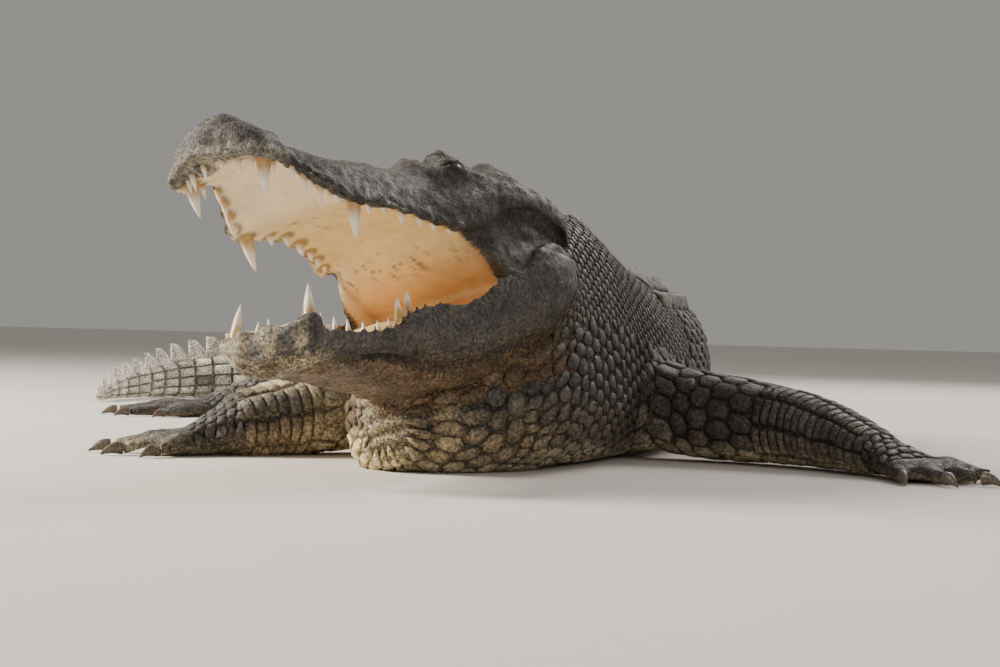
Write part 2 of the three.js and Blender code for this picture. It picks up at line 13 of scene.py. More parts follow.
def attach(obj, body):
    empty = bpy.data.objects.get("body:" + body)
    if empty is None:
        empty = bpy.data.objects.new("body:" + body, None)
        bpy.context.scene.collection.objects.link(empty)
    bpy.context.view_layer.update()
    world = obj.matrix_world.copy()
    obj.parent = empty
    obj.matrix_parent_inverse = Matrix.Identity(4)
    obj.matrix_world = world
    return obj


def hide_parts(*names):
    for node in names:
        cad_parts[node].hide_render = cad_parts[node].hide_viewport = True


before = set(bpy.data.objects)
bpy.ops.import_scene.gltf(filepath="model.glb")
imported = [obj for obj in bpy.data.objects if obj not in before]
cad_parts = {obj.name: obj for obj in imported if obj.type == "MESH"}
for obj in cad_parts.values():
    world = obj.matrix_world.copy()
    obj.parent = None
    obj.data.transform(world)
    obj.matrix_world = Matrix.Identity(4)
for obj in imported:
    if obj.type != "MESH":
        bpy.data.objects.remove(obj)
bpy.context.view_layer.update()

bl_info = {
    "name": "Resting crocodile",
    "version": (1, 0, 0),
    "blender": (4, 5, 0),
    "location": "View3D > Sidebar > Crocodile",
    "description": "Dresses the solids of a life-size crocodile with skin, scales, teeth, eyes and claws",
    "category": "Add Mesh",
}

# ---------------------------------------------------------------- the animal's own measures, as in its solids
MM = 0.001
HEAD = 0.400
HEAD_AT = (-0.095, -0.5715, 0.165)
HEAD_TURN, HEAD_PITCH, HEAD_ROLL, GAPE = (math.radians(d) for d in (58.4, 12.1, 15.8, 18.9))
HINGE = (-0.06, 0.02)
EYE_AT = (0.29, 0.122, 0.162)
EYE_RADIUS, EYEBALL = 0.04, 0.985  # the eyeball's share of its socket's radius

SPINE = [
    (-163, -682), (-97, -571), (-62, -488), (-36, -400), (-6, -310), (12, -200), (20, -50), (10, 200),
    (-20, 420), (-60, 680), (-140, 880), (-280, 1040), (-460, 1100), (-610, 1030), (-690, 870), (-705, 690),
]
THROAT = -129
# Distance behind the skull, half width, top, height of the widest part, bottom, roll in degrees, squareness.
BODY = [
    (-129, 34, 90, 48, 6, 8, 0.8), (-100, 70, 114, 50, -6, 9, 0.75), (-50, 98, 150, 62, -12, 10, 0.66),
    (0, 112, 224, 76, -14, 10, 0.62), (60, 114, 250, 84, -15, 8, 0.6), (120, 116, 250, 84, -16, 5, 0.6),
    (200, 122, 232, 82, -17, 2, 0.72), (290, 130, 210, 78, -19, 0, 0.84), (400, 147, 207, 76, -21, 0, 0.9),
    (550, 166, 210, 76, -22, 0, 0.9), (700, 170, 210, 76, -22, 0, 0.88), (850, 150, 196, 74, -18, 0, 0.84),
    (960, 120, 176, 70, -15, 0, 0.8), (1060, 98, 158, 66, -12, 0, 0.78), (1200, 78, 138, 58, -9, 0, 0.76),
    (1400, 60, 122, 52, -7, 0, 0.74), (1600, 47, 108, 46, -6, 0, 0.76), (1800, 35, 94, 40, -5, 0, 0.8),
    (2000, 24, 78, 33, -4, 0, 0.8), (2200, 14, 50, 24, -3, 0, 0.85), (2350, 8, 27, 14, -2, 0, 0.9),
    (2422, 3, 12, 6, -1, 0, 0.9),
]
# The crest, from the trunk's end to its own: rows of fins, those that are double, and heights in millimetres of the
# first fin and the first single one, with what each row adds or takes away.
TRUNK_END, CREST_END = 1130, 2400
WHORLS, CREST_JOIN = 34, 18
FIN_FIRST, FIN_GAIN, FIN_TALLEST, FIN_LOSS = 15, 1.7, 46, 2.1

# Upper jaw and skull, in head lengths: x, half width at the lip, lip, top, roundness of the flank and of the top.
SKULL = [
    (-0.115, 0.16, 0.075, 0.17, 0.8, 0.7), (-0.08, 0.225, 0.07, 0.2, 0.95, 0.62),
    (0.0, 0.25, 0.088, 0.212, 1.1, 0.55), (0.12, 0.248, 0.1, 0.216, 1.15, 0.52),
    (0.22, 0.232, 0.075, 0.202, 1.15, 0.55), (0.3, 0.212, 0.018, 0.186, 1.12, 0.6),
    (0.36, 0.197, -0.006, 0.164, 1.05, 0.62), (0.45, 0.166, 0.004, 0.142, 0.92, 0.7),
    (0.56, 0.15, 0.008, 0.126, 0.85, 0.75), (0.65, 0.15, -0.016, 0.108, 0.82, 0.78),
    (0.72, 0.155, -0.034, 0.094, 0.8, 0.8), (0.8, 0.124, -0.004, 0.086, 0.8, 0.8),
    (0.865, 0.096, 0.028, 0.084, 0.8, 0.8), (0.915, 0.126, 0.004, 0.09, 0.8, 0.75),
    (0.965, 0.12, -0.002, 0.09, 0.8, 0.72), (1.0, 0.084, 0.008, 0.08, 0.8, 0.75),
    (1.018, 0.036, 0.022, 0.06, 0.9, 0.9),
]
# Swellings on top of the skull: x, distance from the midline, length, width and height, in head lengths.
SWELLINGS = [
    (0.95, 0, 0.055, 0.08, 0.036), (0.54, 0, 0.06, 0.05, 0.03), (0.27, 0.1, 0.055, 0.055, 0.074),
    (0.135, 0.14, 0.055, 0.05, 0.045), (0.375, 0.075, 0.04, 0.05, 0.05),
]
# Lower jaw, closed, in head lengths: x, half width, rim, underside, depth of the mouth's floor below the rim.
MANDIBLE = [
    (-0.175, 0.15, -0.02, -0.1, 0), (-0.13, 0.205, 0.0, -0.14, 0), (-0.04, 0.246, 0.045, -0.168, 0),
    (0.08, 0.26, 0.08, -0.18, 0.01), (0.2, 0.246, 0.05, -0.186, 0.06), (0.32, 0.215, 0.004, -0.19, 0.05),
    (0.42, 0.176, 0.006, -0.182, 0.05), (0.52, 0.152, 0.014, -0.162, 0.05), (0.64, 0.132, -0.014, -0.126, 0.042),
    (0.76, 0.112, -0.018, -0.1, 0.022), (0.83, 0.1, -0.012, -0.09, 0.008), (0.885, 0.112, 0.014, -0.082, 0.004),
    (0.93, 0.092, 0.0, -0.068, 0), (0.962, 0.046, -0.02, -0.05, 0),
]
# Teeth: x, distance from the midline, gum height, length and width of the crown, in head lengths.
UPPER_TEETH = [
    (0.982, 0.024, 0.01, 0.03, 0.014), (0.975, 0.058, 0.006, 0.036, 0.016), (0.962, 0.078, 0.006, 0.03, 0.015),
    (0.937, 0.09, 0.0, 0.064, 0.03), (0.903, 0.088, 0.01, 0.026, 0.014), (0.848, 0.094, 0.016, 0.028, 0.014),
    (0.82, 0.102, 0.004, 0.036, 0.017), (0.788, 0.115, -0.01, 0.042, 0.02), (0.752, 0.132, -0.022, 0.02, 0.026),
    (0.702, 0.137, -0.028, 0.074, 0.032), (0.63, 0.127, -0.01, 0.018, 0.02), (0.57, 0.127, 0.004, 0.018, 0.022),
    (0.513, 0.132, 0.005, 0.024, 0.024), (0.46, 0.143, 0.001, 0.014, 0.02), (0.42, 0.152, -0.002, 0.012, 0.02),
    (0.377, 0.165, -0.002, 0.01, 0.018),
]
LOWER_TEETH = [
    (0.93, 0.018, -0.014, 0.044, 0.018), (0.92, 0.046, -0.018, 0.01, 0.014), (0.9, 0.07, -0.01, 0.01, 0.014),
    (0.886, 0.092, 0.012, 0.066, 0.028), (0.84, 0.086, -0.01, 0.028, 0.016), (0.8, 0.09, -0.018, 0.024, 0.014),
    (0.76, 0.095, -0.026, 0.022, 0.014), (0.715, 0.102, -0.034, 0.018, 0.014), (0.67, 0.11, -0.036, 0.016, 0.014),
    (0.635, 0.116, -0.034, 0.014, 0.014), (0.6, 0.124, -0.01, 0.03, 0.02), (0.565, 0.129, -0.004, 0.034, 0.02),
    (0.5, 0.136, -0.02, 0.01, 0.016), (0.45, 0.147, -0.024, 0.01, 0.014),
]
LOWER_LEAN = 0.55
TOOTH_ROOT = 0.022
TONGUE_TIP, TONGUE_ROOT, TONGUE_HALF, TONGUE_RISE = 0.72, 0.2, 0.088, 0.026
# Flesh at the corners of the mouth, in head lengths: how far forward its free edge reaches and how far it is drawn
# back, how sharply below and above, where the mouth ends low and high, its rear, and how deep it lies under the jaws.
CHEEK_TIP, CHEEK_DRAWN, CHEEK_BELOW, CHEEK_ABOVE = 0.35, 0.105, 1.6, 0.8
CHEEK_THROAT, CHEEK_PALATE, CHEEK_PALATE_AT, CHEEK_REAR = 0.12, 0.38, 0.62, -0.13
CHEEK_RECESS, CHEEK_PINCH, CHEEK_TOP, CHEEK_BOTTOM = 0.022, 0.012, 0.16, -0.035

# Limbs: joints as x, y, z, half width and half height in millimetres, heading and digits in degrees and millimetres.
LIMBS = {
    "front_left": {
        "joints": [(70, -380, 60, 58, 50), (140, -405, 48, 54, 47), (236, -478, 38, 44, 38), (292, -578, 21, 30, 22)],
        "heading": -54, "digits": [(-40, 62), (-19, 78), (2, 84), (23, 74), (44, 56)], "palm": 34, "digit": 12,
    },
    "front_right": {
        "joints": [(-80, -352, 80, 54, 52), (-145, -378, 64, 50, 50), (-240, -440, 42, 42, 42),
                   (-330, -502, 26, 30, 28)],
        "heading": 188, "digits": [(46, 60), (22, 76), (-2, 82), (-26, 72), (-48, 54)], "palm": 34, "digit": 12.5,
    },
    "hind_left": {
        "joints": [(40, 420, 76, 62, 50), (105, 372, 66, 60, 48), (205, 318, 46, 42, 42), (214, 500, 23, 28, 24)],
        "heading": 76, "digits": [(-30, 96), (-10, 120), (9, 122), (28, 102)], "palm": 40, "digit": 13,
    },
    "hind_right": {
        "joints": [(-70, 420, 76, 62, 50), (-150, 372, 66, 60, 48), (-300, 288, 44, 42, 42), (-440, 344, 23, 29, 24)],
        "heading": 206, "digits": [(30, 96), (10, 120), (-9, 122), (-28, 102)], "palm": 40, "digit": 13,
    },
}
CLAWED = 3
CLAW_LENGTH, CLAW_WIDTH, CLAW_SLIM = 22, 6.5, 0.74
PALM_START, DIGIT_START = -16, -12  # how far a palm reaches back past the wrist, and a digit into its palm
SIDES = (1, -1)  # the animal's left and right

FLESH = ["head", "lower_jaw", "cheeks", "neck", "trunk", "tail_base", "tail_middle", "tail_end"]
for where in LIMBS:
    first, second, last = ("upper_arm", "forearm", "hand") if where.startswith("front") else ("thigh", "shank", "foot")
    FLESH += [f"{first}_{where}", f"{second}_{where}", f"{last}_{where}"]


# ---------------------------------------------------------------- curves and places
def smooth(low, high, value):
    """A smooth step from 0 at low to 1 at high, for numbers and arrays."""
    t = np.clip((np.asarray(value, float) - low) / (high - low), 0, 1)
    return t * t * (3 - 2 * t)


def bell(distance, reach):
    return np.exp(-((distance / reach) ** 2))


def signed(value, power):
    return np.sign(value) * np.abs(value) ** power


def together(a, b):
    """Two numbers or arrays as arrays of one shape."""
    return np.broadcast_arrays(np.asarray(a, float), np.asarray(b, float))


def unit(v):
    return v / np.linalg.norm(v, axis=-1, keepdims=True)


def compass(degrees):
    """The direction in plan at an angle from X."""
    return np.array([math.cos(math.radians(degrees)), math.sin(math.radians(degrees))])


def leftward(along):
    """The direction in plan at a right angle to another: to the left of the way back along a limb or the spine."""
    return np.stack([along[..., 1], -along[..., 0]], -1)


def raised(plan, height):
    return np.concatenate([plan, height[..., None]], -1)


def course(run, at, step):
    """A function for the places at distances along a run of points, and the direction in plan to their left."""
    def follow(s):
        return np.stack([np.interp(s, at, column) for column in run.T], -1)

    return lambda s: (follow(s), leftward(unit((follow(s + step) - follow(s - step))[..., :2])))


def track(rows, column):
    """A smooth curve without overshoot through one column of a table whose first column rises."""
    x = np.array([r[0] for r in rows], float)
    v = np.array([r[column] for r in rows], float)
    slope = np.diff(v) / np.diff(x)
    tangent = np.zeros_like(v)
    tangent[0], tangent[-1] = slope[0], slope[-1]
    same = slope[1:] * slope[:-1] > 0
    total = np.where(same, slope[1:] + slope[:-1], 1)
    tangent[1:-1] = np.where(same, 2 * slope[1:] * slope[:-1] / total, 0)

    def at(place):
        p = np.clip(np.asarray(place, float), x[0], x[-1])
        i = np.clip(np.searchsorted(x, p, side="right") - 1, 0, len(x) - 2)
        h = x[i + 1] - x[i]
        t = (p - x[i]) / h
        held = v[i] * (1 + 2 * t) * (1 - t) ** 2 + v[i + 1] * t * t * (3 - 2 * t)
        return held + h * (tangent[i] * t * (1 - t) ** 2 - tangent[i + 1] * t * t * (1 - t))

    return at


def catmull(points, per_span=60):
    """A centripetal Catmull-Rom curve through points, sampled evenly between each pair."""
    p = np.array(points, float)
    p = np.vstack([2 * p[0] - p[1], p, 2 * p[-1] - p[-2]])
    t = np.linspace(0, 1, per_span, endpoint=False)[:, None]
    runs = []
    for i in range(1, len(p) - 2):
        a, b, c, d = p[i - 1], p[i], p[i + 1], p[i + 2]
        d0, d1, d2 = (math.sqrt(np.linalg.norm(q - r)) for q, r in ((b, a), (c, b), (d, c)))
        t1 = ((b - a) / d0 - (c - a) / (d0 + d1) + (c - b) / d1) * d1
        t2 = ((c - b) / d1 - (d - b) / (d1 + d2) + (d - c) / d2) * d1
        runs.append(b + t1 * t + (-3 * b + 3 * c - 2 * t1 - t2) * t**2 + (2 * b - 2 * c + t1 + t2) * t**3)
    return np.vstack([*runs, p[-2][None]])


SPINE_RUN = catmull(SPINE)
SPINE_AT = THROAT + np.concatenate([[0], np.cumsum(np.linalg.norm(np.diff(SPINE_RUN, axis=0), axis=1))])
HALF, TOP, WIDEST, BOTTOM, ROLL, SQUARE = (track(BODY, c) for c in range(1, 7))


def spine_place(s):
    """Centre and left-hand direction, in plan, of the spine at distances s in millimetres."""
    return course(SPINE_RUN, SPINE_AT, 4)(np.clip(np.asarray(s, float), SPINE_AT[0], SPINE_AT[-1]))


THROAT_DOME = THROAT - 16.0  # the throat's front is rounded off over this last stretch


def body_surface(s, angle):
    """Points of the body's outer level, in metres, at distances s and angles from the left side up over the back."""
    s, angle = together(s, angle)
    dome = np.sqrt(np.clip(1 - ((THROAT - s) / (THROAT - THROAT_DOME + 0.2)) ** 2, 0.01, 1))
    dome = np.where(s < THROAT, dome, 1)
    centre, left = spine_place(s)
    centre = centre + leftward(left) * np.maximum(0, THROAT - s)[..., None]
    s = np.maximum(s, THROAT)
    tilt = np.radians(ROLL(s))
    up = np.sin(angle) >= 0
    side = dome * HALF(s) * signed(np.cos(angle), SQUARE(s))
    reach = np.where(up, TOP(s) - WIDEST(s), WIDEST(s) - BOTTOM(s))
    rise = dome * reach * signed(np.sin(angle), np.where(up, 0.8, 0.7))
    turned = side * np.cos(tilt) - rise * np.sin(tilt)
    height = WIDEST(s) + rise * np.cos(tilt) + side * np.sin(tilt)
    return raised(centre + left * turned[..., None], np.maximum(0, height)) * MM


def head_matrix():
    """From head lengths, x forward, y to the animal's left and z up, to metres."""
    forward = Vector((-math.cos(HEAD_TURN) * math.cos(HEAD_PITCH), -math.sin(HEAD_TURN) * math.cos(HEAD_PITCH),
                      math.sin(HEAD_PITCH)))
    level = Vector((0, 0, 1)).cross(forward).normalized()
    upright = forward.cross(level)
    left = level * math.cos(HEAD_ROLL) + upright * math.sin(HEAD_ROLL)
    up = forward.cross(left)
    turned = Matrix((forward, left, up)).transposed().to_4x4()
    return Matrix.Translation(HEAD_AT) @ turned @ Matrix.Scale(HEAD, 4)


HEAD_MATRIX = np.array(head_matrix())
HEAD_INVERSE = np.linalg.inv(HEAD_MATRIX)


def to_world(points):
    return np.asarray(points) @ HEAD_MATRIX[:3, :3].T + HEAD_MATRIX[:3, 3]


def to_head(points):
    return np.asarray(points) @ HEAD_INVERSE[:3, :3].T + HEAD_INVERSE[:3, 3]


def gaped(points, share=1.0):
    """Turns points of the closed lower jaw down about the hinge by a share of the gape; -1 closes them again."""
    p = np.array(points, float)
    g = GAPE * share
    dx, dz = p[..., 0] - HINGE[0], p[..., 2] - HINGE[1]
    p[..., 0] = HINGE[0] + dx * np.cos(g) + dz * np.sin(g)
    p[..., 2] = HINGE[1] - dx * np.sin(g) + dz * np.cos(g)
    return p


SKULL_W, SKULL_LIP, SKULL_TOP, SKULL_FLANK, SKULL_CROWN = (track(SKULL, c) for c in range(1, 6))
JAW_W, JAW_RIM, JAW_UNDER, JAW_FLOOR = (track(MANDIBLE, c) for c in range(1, 5))


def skull_surface(x, angle):
    x, angle = together(x, angle)
    c, s = np.cos(angle), np.sin(angle)
    w, lip, top = SKULL_W(x), SKULL_LIP(x), SKULL_TOP(x)
    y = w * signed(c, np.where(s >= 0, SKULL_FLANK(x), 0.6))
    swelling = sum(high * bell(x - cx, long) * bell(np.abs(y) - cy, wide) for cx, cy, long, wide, high in SWELLINGS)
    over = lip + (top - lip) * np.abs(s) ** SKULL_CROWN(x) + s * swelling
    z = np.where(s >= 0, over, lip - 0.006 + 0.16 * w * s**2)
    return np.stack([x, y, z], -1)


def jaw_surface(x, angle):
    x, angle = together(x, angle)
    c, s = np.cos(angle), np.sin(angle)
    w, rim = JAW_W(x), JAW_RIM(x)
    y = w * signed(c, np.where(s <= 0, 0.75, 0.5))
    z = np.where(s <= 0, rim + (rim - JAW_UNDER(x)) * signed(s, 0.75), rim - JAW_FLOOR(x) * np.abs(s) ** 0.6)
    return gaped(np.stack([x, y, z], -1))


def limb_surface(limb):
    """Points of a limb's outer level by place between its joints, counted from 0, and angle."""
    joints = limb["joints"]
    run = catmull([j[:3] for j in joints])
    middle = course(run, np.linspace(0, len(joints) - 1, len(run)), 0.02)
    wide, high = (track([(i, j[column]) for i, j in enumerate(joints)], 1) for column in (3, 4))

    def at(t, angle):
        t, angle = together(t, angle)
        centre, left = middle(t)
        plan = centre[..., :2] + left * (wide(t) * signed(np.cos(angle), 0.9))[..., None]
        return raised(plan, np.maximum(0, centre[..., 2] + high(t) * signed(np.sin(angle), 0.9))) * MM

    return at


def foot_lines(limb):
    """The digits of a foot: each one's root, direction, length and radius, in metres."""
    for spread, long in limb["digits"]:
        root = compass(limb["heading"] + spread * 0.75) * limb["palm"] * 0.95
        yield (limb["joints"][-1][:2] + root) * MM, compass(limb["heading"] + spread), long * MM, limb["digit"] * MM


# ---------------------------------------------------------------- meshes
def new_object(name, bm, smooth_faces=True):
    mesh = bpy.data.meshes.new(name)
    bm.to_mesh(mesh)
    bm.free()
    obj = bpy.data.objects.new(name, mesh)
    bpy.context.scene.collection.objects.link(obj)
    if smooth_faces:
        mesh.shade_smooth()
    return obj


def add_tube(bm, along, around, surface, layer=None):
    """A closed tube: a grid rolled onto surface(u, angle), its seam joined and its two ends filled."""
    made = bmesh.ops.create_grid(bm, x_segments=along, y_segments=around, size=0.5)["verts"]
    u = np.array([v.co.x for v in made]) + 0.5
    angle = (np.array([v.co.y for v in made]) + 0.5) * 2 * math.pi
    for vert, point in zip(made, surface(u, angle)):
        vert.co = point
    if layer:
        for vert, share in zip(made, u):
            vert[layer] = share
    bmesh.ops.remove_doubles(bm, verts=made, dist=1e-6)
    made = [v for v in made if v.is_valid]
    rim = [e for v in made for e in v.link_edges if e.is_boundary]
    bmesh.ops.holes_fill(bm, edges=list(set(rim)), sides=0)
    bmesh.ops.recalc_face_normals(bm, faces=list({f for v in made for f in v.link_faces}))


def span(low, high):
    return lambda u: low + (high - low) * u


def add_trunk(bm, tail, along):
    """The head and the body as far back as a distance along the spine, as forms that run into each other."""
    skull_x, jaw_x, s = (span(*ends) for ends in (
        (SKULL[-1][0], SKULL[0][0]), (MANDIBLE[-1][0], MANDIBLE[0][0]), (THROAT_DOME, tail)))
    add_tube(bm, 170, 96, lambda u, a: to_world(skull_surface(skull_x(u), a)))
    add_tube(bm, 150, 96, lambda u, a: to_world(jaw_surface(jaw_x(u), a)))
    add_cheeks(bm)
    add_tube(bm, along, 64, lambda u, a: body_surface(s(u), a))


def add_cheeks(bm):
    """The flesh that joins the jaws about the hinge: its front is hollow like a horseshoe, with the free edges of the
    cheeks at its two ends, and its outer side falls back under the arch of the skull."""
    def wedge(u, angle):
        rise = 1 - u
        draw = np.sin(math.pi * np.clip(rise, 0, 1))
        tip = CHEEK_TIP - CHEEK_DRAWN * np.where(rise < 0.5, draw**CHEEK_BELOW, draw**CHEEK_ABOVE)
        middle = CHEEK_THROAT + (CHEEK_PALATE - CHEEK_THROAT) * smooth(0.0, CHEEK_PALATE_AT, rise)
        c, s = np.cos(angle), np.sin(angle)
        outer = tip - (tip - CHEEK_REAR) * np.abs(s) ** 0.3
        inner = tip - (tip - middle) * np.abs(s) ** 0.6
        x = np.where(s >= 0, outer, inner)
        half = JAW_W(x) * (1 - rise) + (SKULL_W(x) - CHEEK_RECESS) * rise - CHEEK_PINCH * draw
        y = half * signed(c, np.where(s >= 0, 0.5, 0.75))
        z = CHEEK_BOTTOM + (CHEEK_TOP - CHEEK_BOTTOM) * rise
        return to_world(gaped(np.stack([x, y, z], -1), 1 - rise))

    add_tube(bm, 60, 120, wedge)


def palm_surface(limb):
    """A palm or sole by distance from the wrist, in millimetres, and angle; and where it ends."""
    wx, wy, wz, wide, high = limb["joints"][-1]
    along, palm = compass(limb["heading"]), limb["palm"]
    rows = [(PALM_START, wide * 0.94, high * 0.94, wz), (palm * 0.45, wide * 1.12, high * 0.8, wz * 0.78),
            (palm, wide * 1.3, high * 0.6, wz * 0.56), (palm * 1.5, wide * 1.15, high * 0.4, wz * 0.4)]
    half, tall, level = (track(rows, c) for c in (1, 2, 3))

    def surface(d, a):
        d, a = together(d, a)
        plan = np.array([wx, wy]) + along * d[..., None] + leftward(along) * (half(d) * np.cos(a))[..., None]
        return raised(plan, np.maximum(0, level(d) + tall(d) * np.sin(a))) * MM

    return surface, palm * 1.5


def add_foot(bm, limb):
    surface, end = palm_surface(limb)
    d = span(PALM_START, end)
    add_tube(bm, 16, 24, lambda u, a: surface(d(u), a))
    for at, way, long, radius in foot_lines(limb):
        add_tube(bm, 22, 18, digit_surface(at, way, long, radius))


def digit_surface(at, way, long, radius):
    """A digit with its knuckles: thick at the joints, lower towards the claw."""
    start = DIGIT_START * MM
    rows = [(start, 0.95, 0.0100), (long * 0.25, 0.98, 0.0112), (long * 0.5, 1.02, 0.0115),
            (long * 0.75, 0.9, 0.009), (long, 0.66, 0.0068)]
    size, level = track(rows, 1), track(rows, 2)

    def surface(u, a):
        u, a = together(u, a)
        d = start + (long - start) * u
        knuckle = 1 + 0.05 * np.cos(2 * math.pi * d / long * 2)
        r = size(d) * knuckle * radius
        plan = at + way * d[..., None] + leftward(way) * (r * np.cos(a))[..., None]
        return raised(plan, np.maximum(0, level(d) + r * 0.95 * np.sin(a)))

    return surface


def remeshed(bm, name, voxel):
    """One closed mesh round everything in the bmesh."""
    lumps = new_object(name, bm)
    remesh = lumps.modifiers.new("one_body", "REMESH")
    remesh.mode = "VOXEL"
    remesh.voxel_size = voxel
    mesh = bpy.data.meshes.new_from_object(lumps.evaluated_get(bpy.context.evaluated_depsgraph_get()))
    bpy.data.objects.remove(lumps)
    return mesh


def cut_side(mesh, point, normal):
    """Keeps what lies on the side of a plane that its normal points to, and leaves the cut open."""
    bm = bmesh.new()
    bm.from_mesh(mesh)
    bpy.data.meshes.remove(mesh)
    geom = bm.verts[:] + bm.edges[:] + bm.faces[:]
    bmesh.ops.bisect_plane(bm, geom=geom, plane_co=point, plane_no=normal, clear_inner=True)
    return bm


# The plane where the finely and coarsely divided parts of the skin meet: across the neck, over both hands.
SEAM_POINT, SEAM_AHEAD = Vector((-0.06, -0.49, 0.12)), Vector((-0.1, -0.6, 0.8))
FINE_END = 420  # how far back the finely divided part is made before it is cut at the seam, in millimetres


def add_limb(bm, limb):
    surface = limb_surface(limb)
    ts = span(0, len(limb["joints"]) - 1)
    add_tube(bm, 60, 36, lambda u, a: surface(ts(u), a))
    add_foot(bm, limb)


def build_skin_mesh(fine_cell, coarse_cell):
    """The whole hide as one mesh: finely divided over the head and throat, more coarsely over the rest."""
    fine, coarse = bmesh.new(), bmesh.new()
    add_trunk(fine, FINE_END, 160)
    add_trunk(coarse, SPINE_AT[-1], 420)
    for limb in LIMBS.values():
        add_limb(coarse, limb)
    front = cut_side(remeshed(fine, "fine", fine_cell), SEAM_POINT, SEAM_AHEAD)
    rear = cut_side(remeshed(coarse, "coarse", coarse_cell), SEAM_POINT, -SEAM_AHEAD)
    rear_mesh = bpy.data.meshes.new("rear")
    rear.to_mesh(rear_mesh)
    rear.free()
    front.from_mesh(rear_mesh)
    bpy.data.meshes.remove(rear_mesh)
    bmesh.ops.bridge_loops(front, edges=[e for e in front.edges if e.is_boundary])
    bmesh.ops.recalc_face_normals(front, faces=front.faces[:])
    return front


# ---------------------------------------------------------------- noise, the same on every run
def lattice(cell, seed):
    """A number from 0 to 1 for each whole-numbered cell."""
    h = np.sin(cell[..., 0] * 127.1 + cell[..., 1] * 311.7 + cell[..., 2] * 74.7 + seed * 19.19) * 43758.5453
    return h - np.floor(h)


def value_noise(points, scale, seed=0):
    """Smooth noise from -1 to 1 with features about 1/scale metres across."""
    p = np.asarray(points) * scale
    base = np.floor(p)
    f = p - base
    f = f * f * (3 - 2 * f)
    total = np.zeros(p.shape[:-1])
    for corner in np.ndindex(2, 2, 2):
        k = np.array(corner)
        weight = np.prod(np.where(k == 1, f, 1 - f), axis=-1)
        total += weight * lattice(base + k, seed)
    return total * 2 - 1


def rough_noise(points, scale, octaves=3, seed=0):
    return sum(value_noise(points, scale * 2**k, seed + k) / 2**k for k in range(octaves)) / (2 - 0.5 ** (octaves - 1))


# ---------------------------------------------------------------- colours of the hide
DARK = np.array([0.050, 0.043, 0.036])
SLATE = np.array([0.088, 0.081, 0.072])
DUST = np.array([0.26, 0.225, 0.175])
TAN = np.array([0.36, 0.27, 0.155])
CREAM = np.array([0.56, 0.47, 0.31])
# The tail's pale hide, brightened to a painted sunlit white.
CHALK = np.array([0.86, 0.80, 0.68])
RUST = np.array([0.165, 0.095, 0.042])
PALATE = np.array([0.78, 0.60, 0.30])
ORANGE = np.array([0.80, 0.42, 0.15])
RED = np.array([0.35, 0.06, 0.03])
FLECK = np.array([0.12, 0.085, 0.06])


def mix(a, b, share):
    share = np.asarray(share)[..., None]
    return a * (1 - share) + b * share


def layered(colour, layers):
    """Lays tones over a colour one after another, each with its share."""
    for tone, share in layers:
        colour = mix(colour, tone, share)
    return colour


class Places:
    """Where points lie in head lengths, with y the distance from the midline, and where with the jaw closed."""

    def __init__(self, points, normals=None):
        self.head = to_head(points)
        self.x, self.left, self.z = np.moveaxis(self.head, -1, 0)
        self.y = np.abs(self.left)
        self.jaw_x, _, jaw_z = np.moveaxis(gaped(self.head, -1.0), -1, 0)
        turn = np.arctan2(self.z - HINGE[1], self.x - HINGE[0])
        self.rise = 1 + turn / GAPE  # 0 along the lower jaw and 1 along the upper one
        self.upper = smooth(-GAPE / 2 - 0.05, -GAPE / 2 + 0.05, turn)
        self.lower = 1 - self.upper
        self.lip = self.z - SKULL_LIP(self.x)
        self.rim = jaw_z - JAW_RIM(self.jaw_x)
        self.depth = -self.rim / (JAW_RIM(self.jaw_x) - JAW_UNDER(self.jaw_x))  # from 0 at the rim to 1 underneath
        if normals is not None:
            self.ahead, self.out, self.up = np.moveaxis(np.asarray(normals) @ (HEAD_MATRIX[:3, :3] / HEAD), -1, 0)

    def near(self, spot, long, wide):
        """How near places are to a spot on the skull and to its mirror image."""
        return bell(self.x - spot[0], long) * bell(self.y - spot[1], wide)

    def near_jaw(self, spot, long, wide):
        return bell(self.jaw_x - spot[0], long) * bell(self.y - spot[1], wide)


# Spots on the head, in head lengths: x and distance from the midline.
BROW, TABLE, SNOUT_BOSS, NOSTRIL, NOSTRIL_RIM = (0.31, 0.1), (0.1, 0.14), (0.54, 0), (0.96, 0.032), (0.955, 0.032)
BIG_TOOTH_MOUND, JAW_TIP = (0.885, 0.105), (0.94, 0.025)
TALL_LOWER = [row for row in LOWER_TEETH if row[3] > 0.02]


def by_teeth(x, y, teeth, ring, reach):
    """How near places are to a ring of some widths round any tooth, or only along the jaw where y is None."""
    near = np.zeros(x.shape)
    for tx, ty, _, _, wide in teeth:
        away = np.abs(x - tx) if y is None else np.hypot(x - tx, y - ty)
        near = np.maximum(near, bell(away - ring * wide, reach))
    return near


def gum_rings(at, high=1.0, low=1.0):
    """1 in the rings of painted shade where the teeth leave the gums, by a share for each jaw."""
    upper = at.upper * high * by_teeth(at.x, at.y, UPPER_TEETH, 0.62, 0.005)
    return upper + at.lower * low * by_teeth(at.jaw_x, at.y, TALL_LOWER, 0.62, 0.005)


def within(value):
    """1 below 0 and 0 above it, with a narrow edge."""
    return smooth(0.004, -0.006, value)


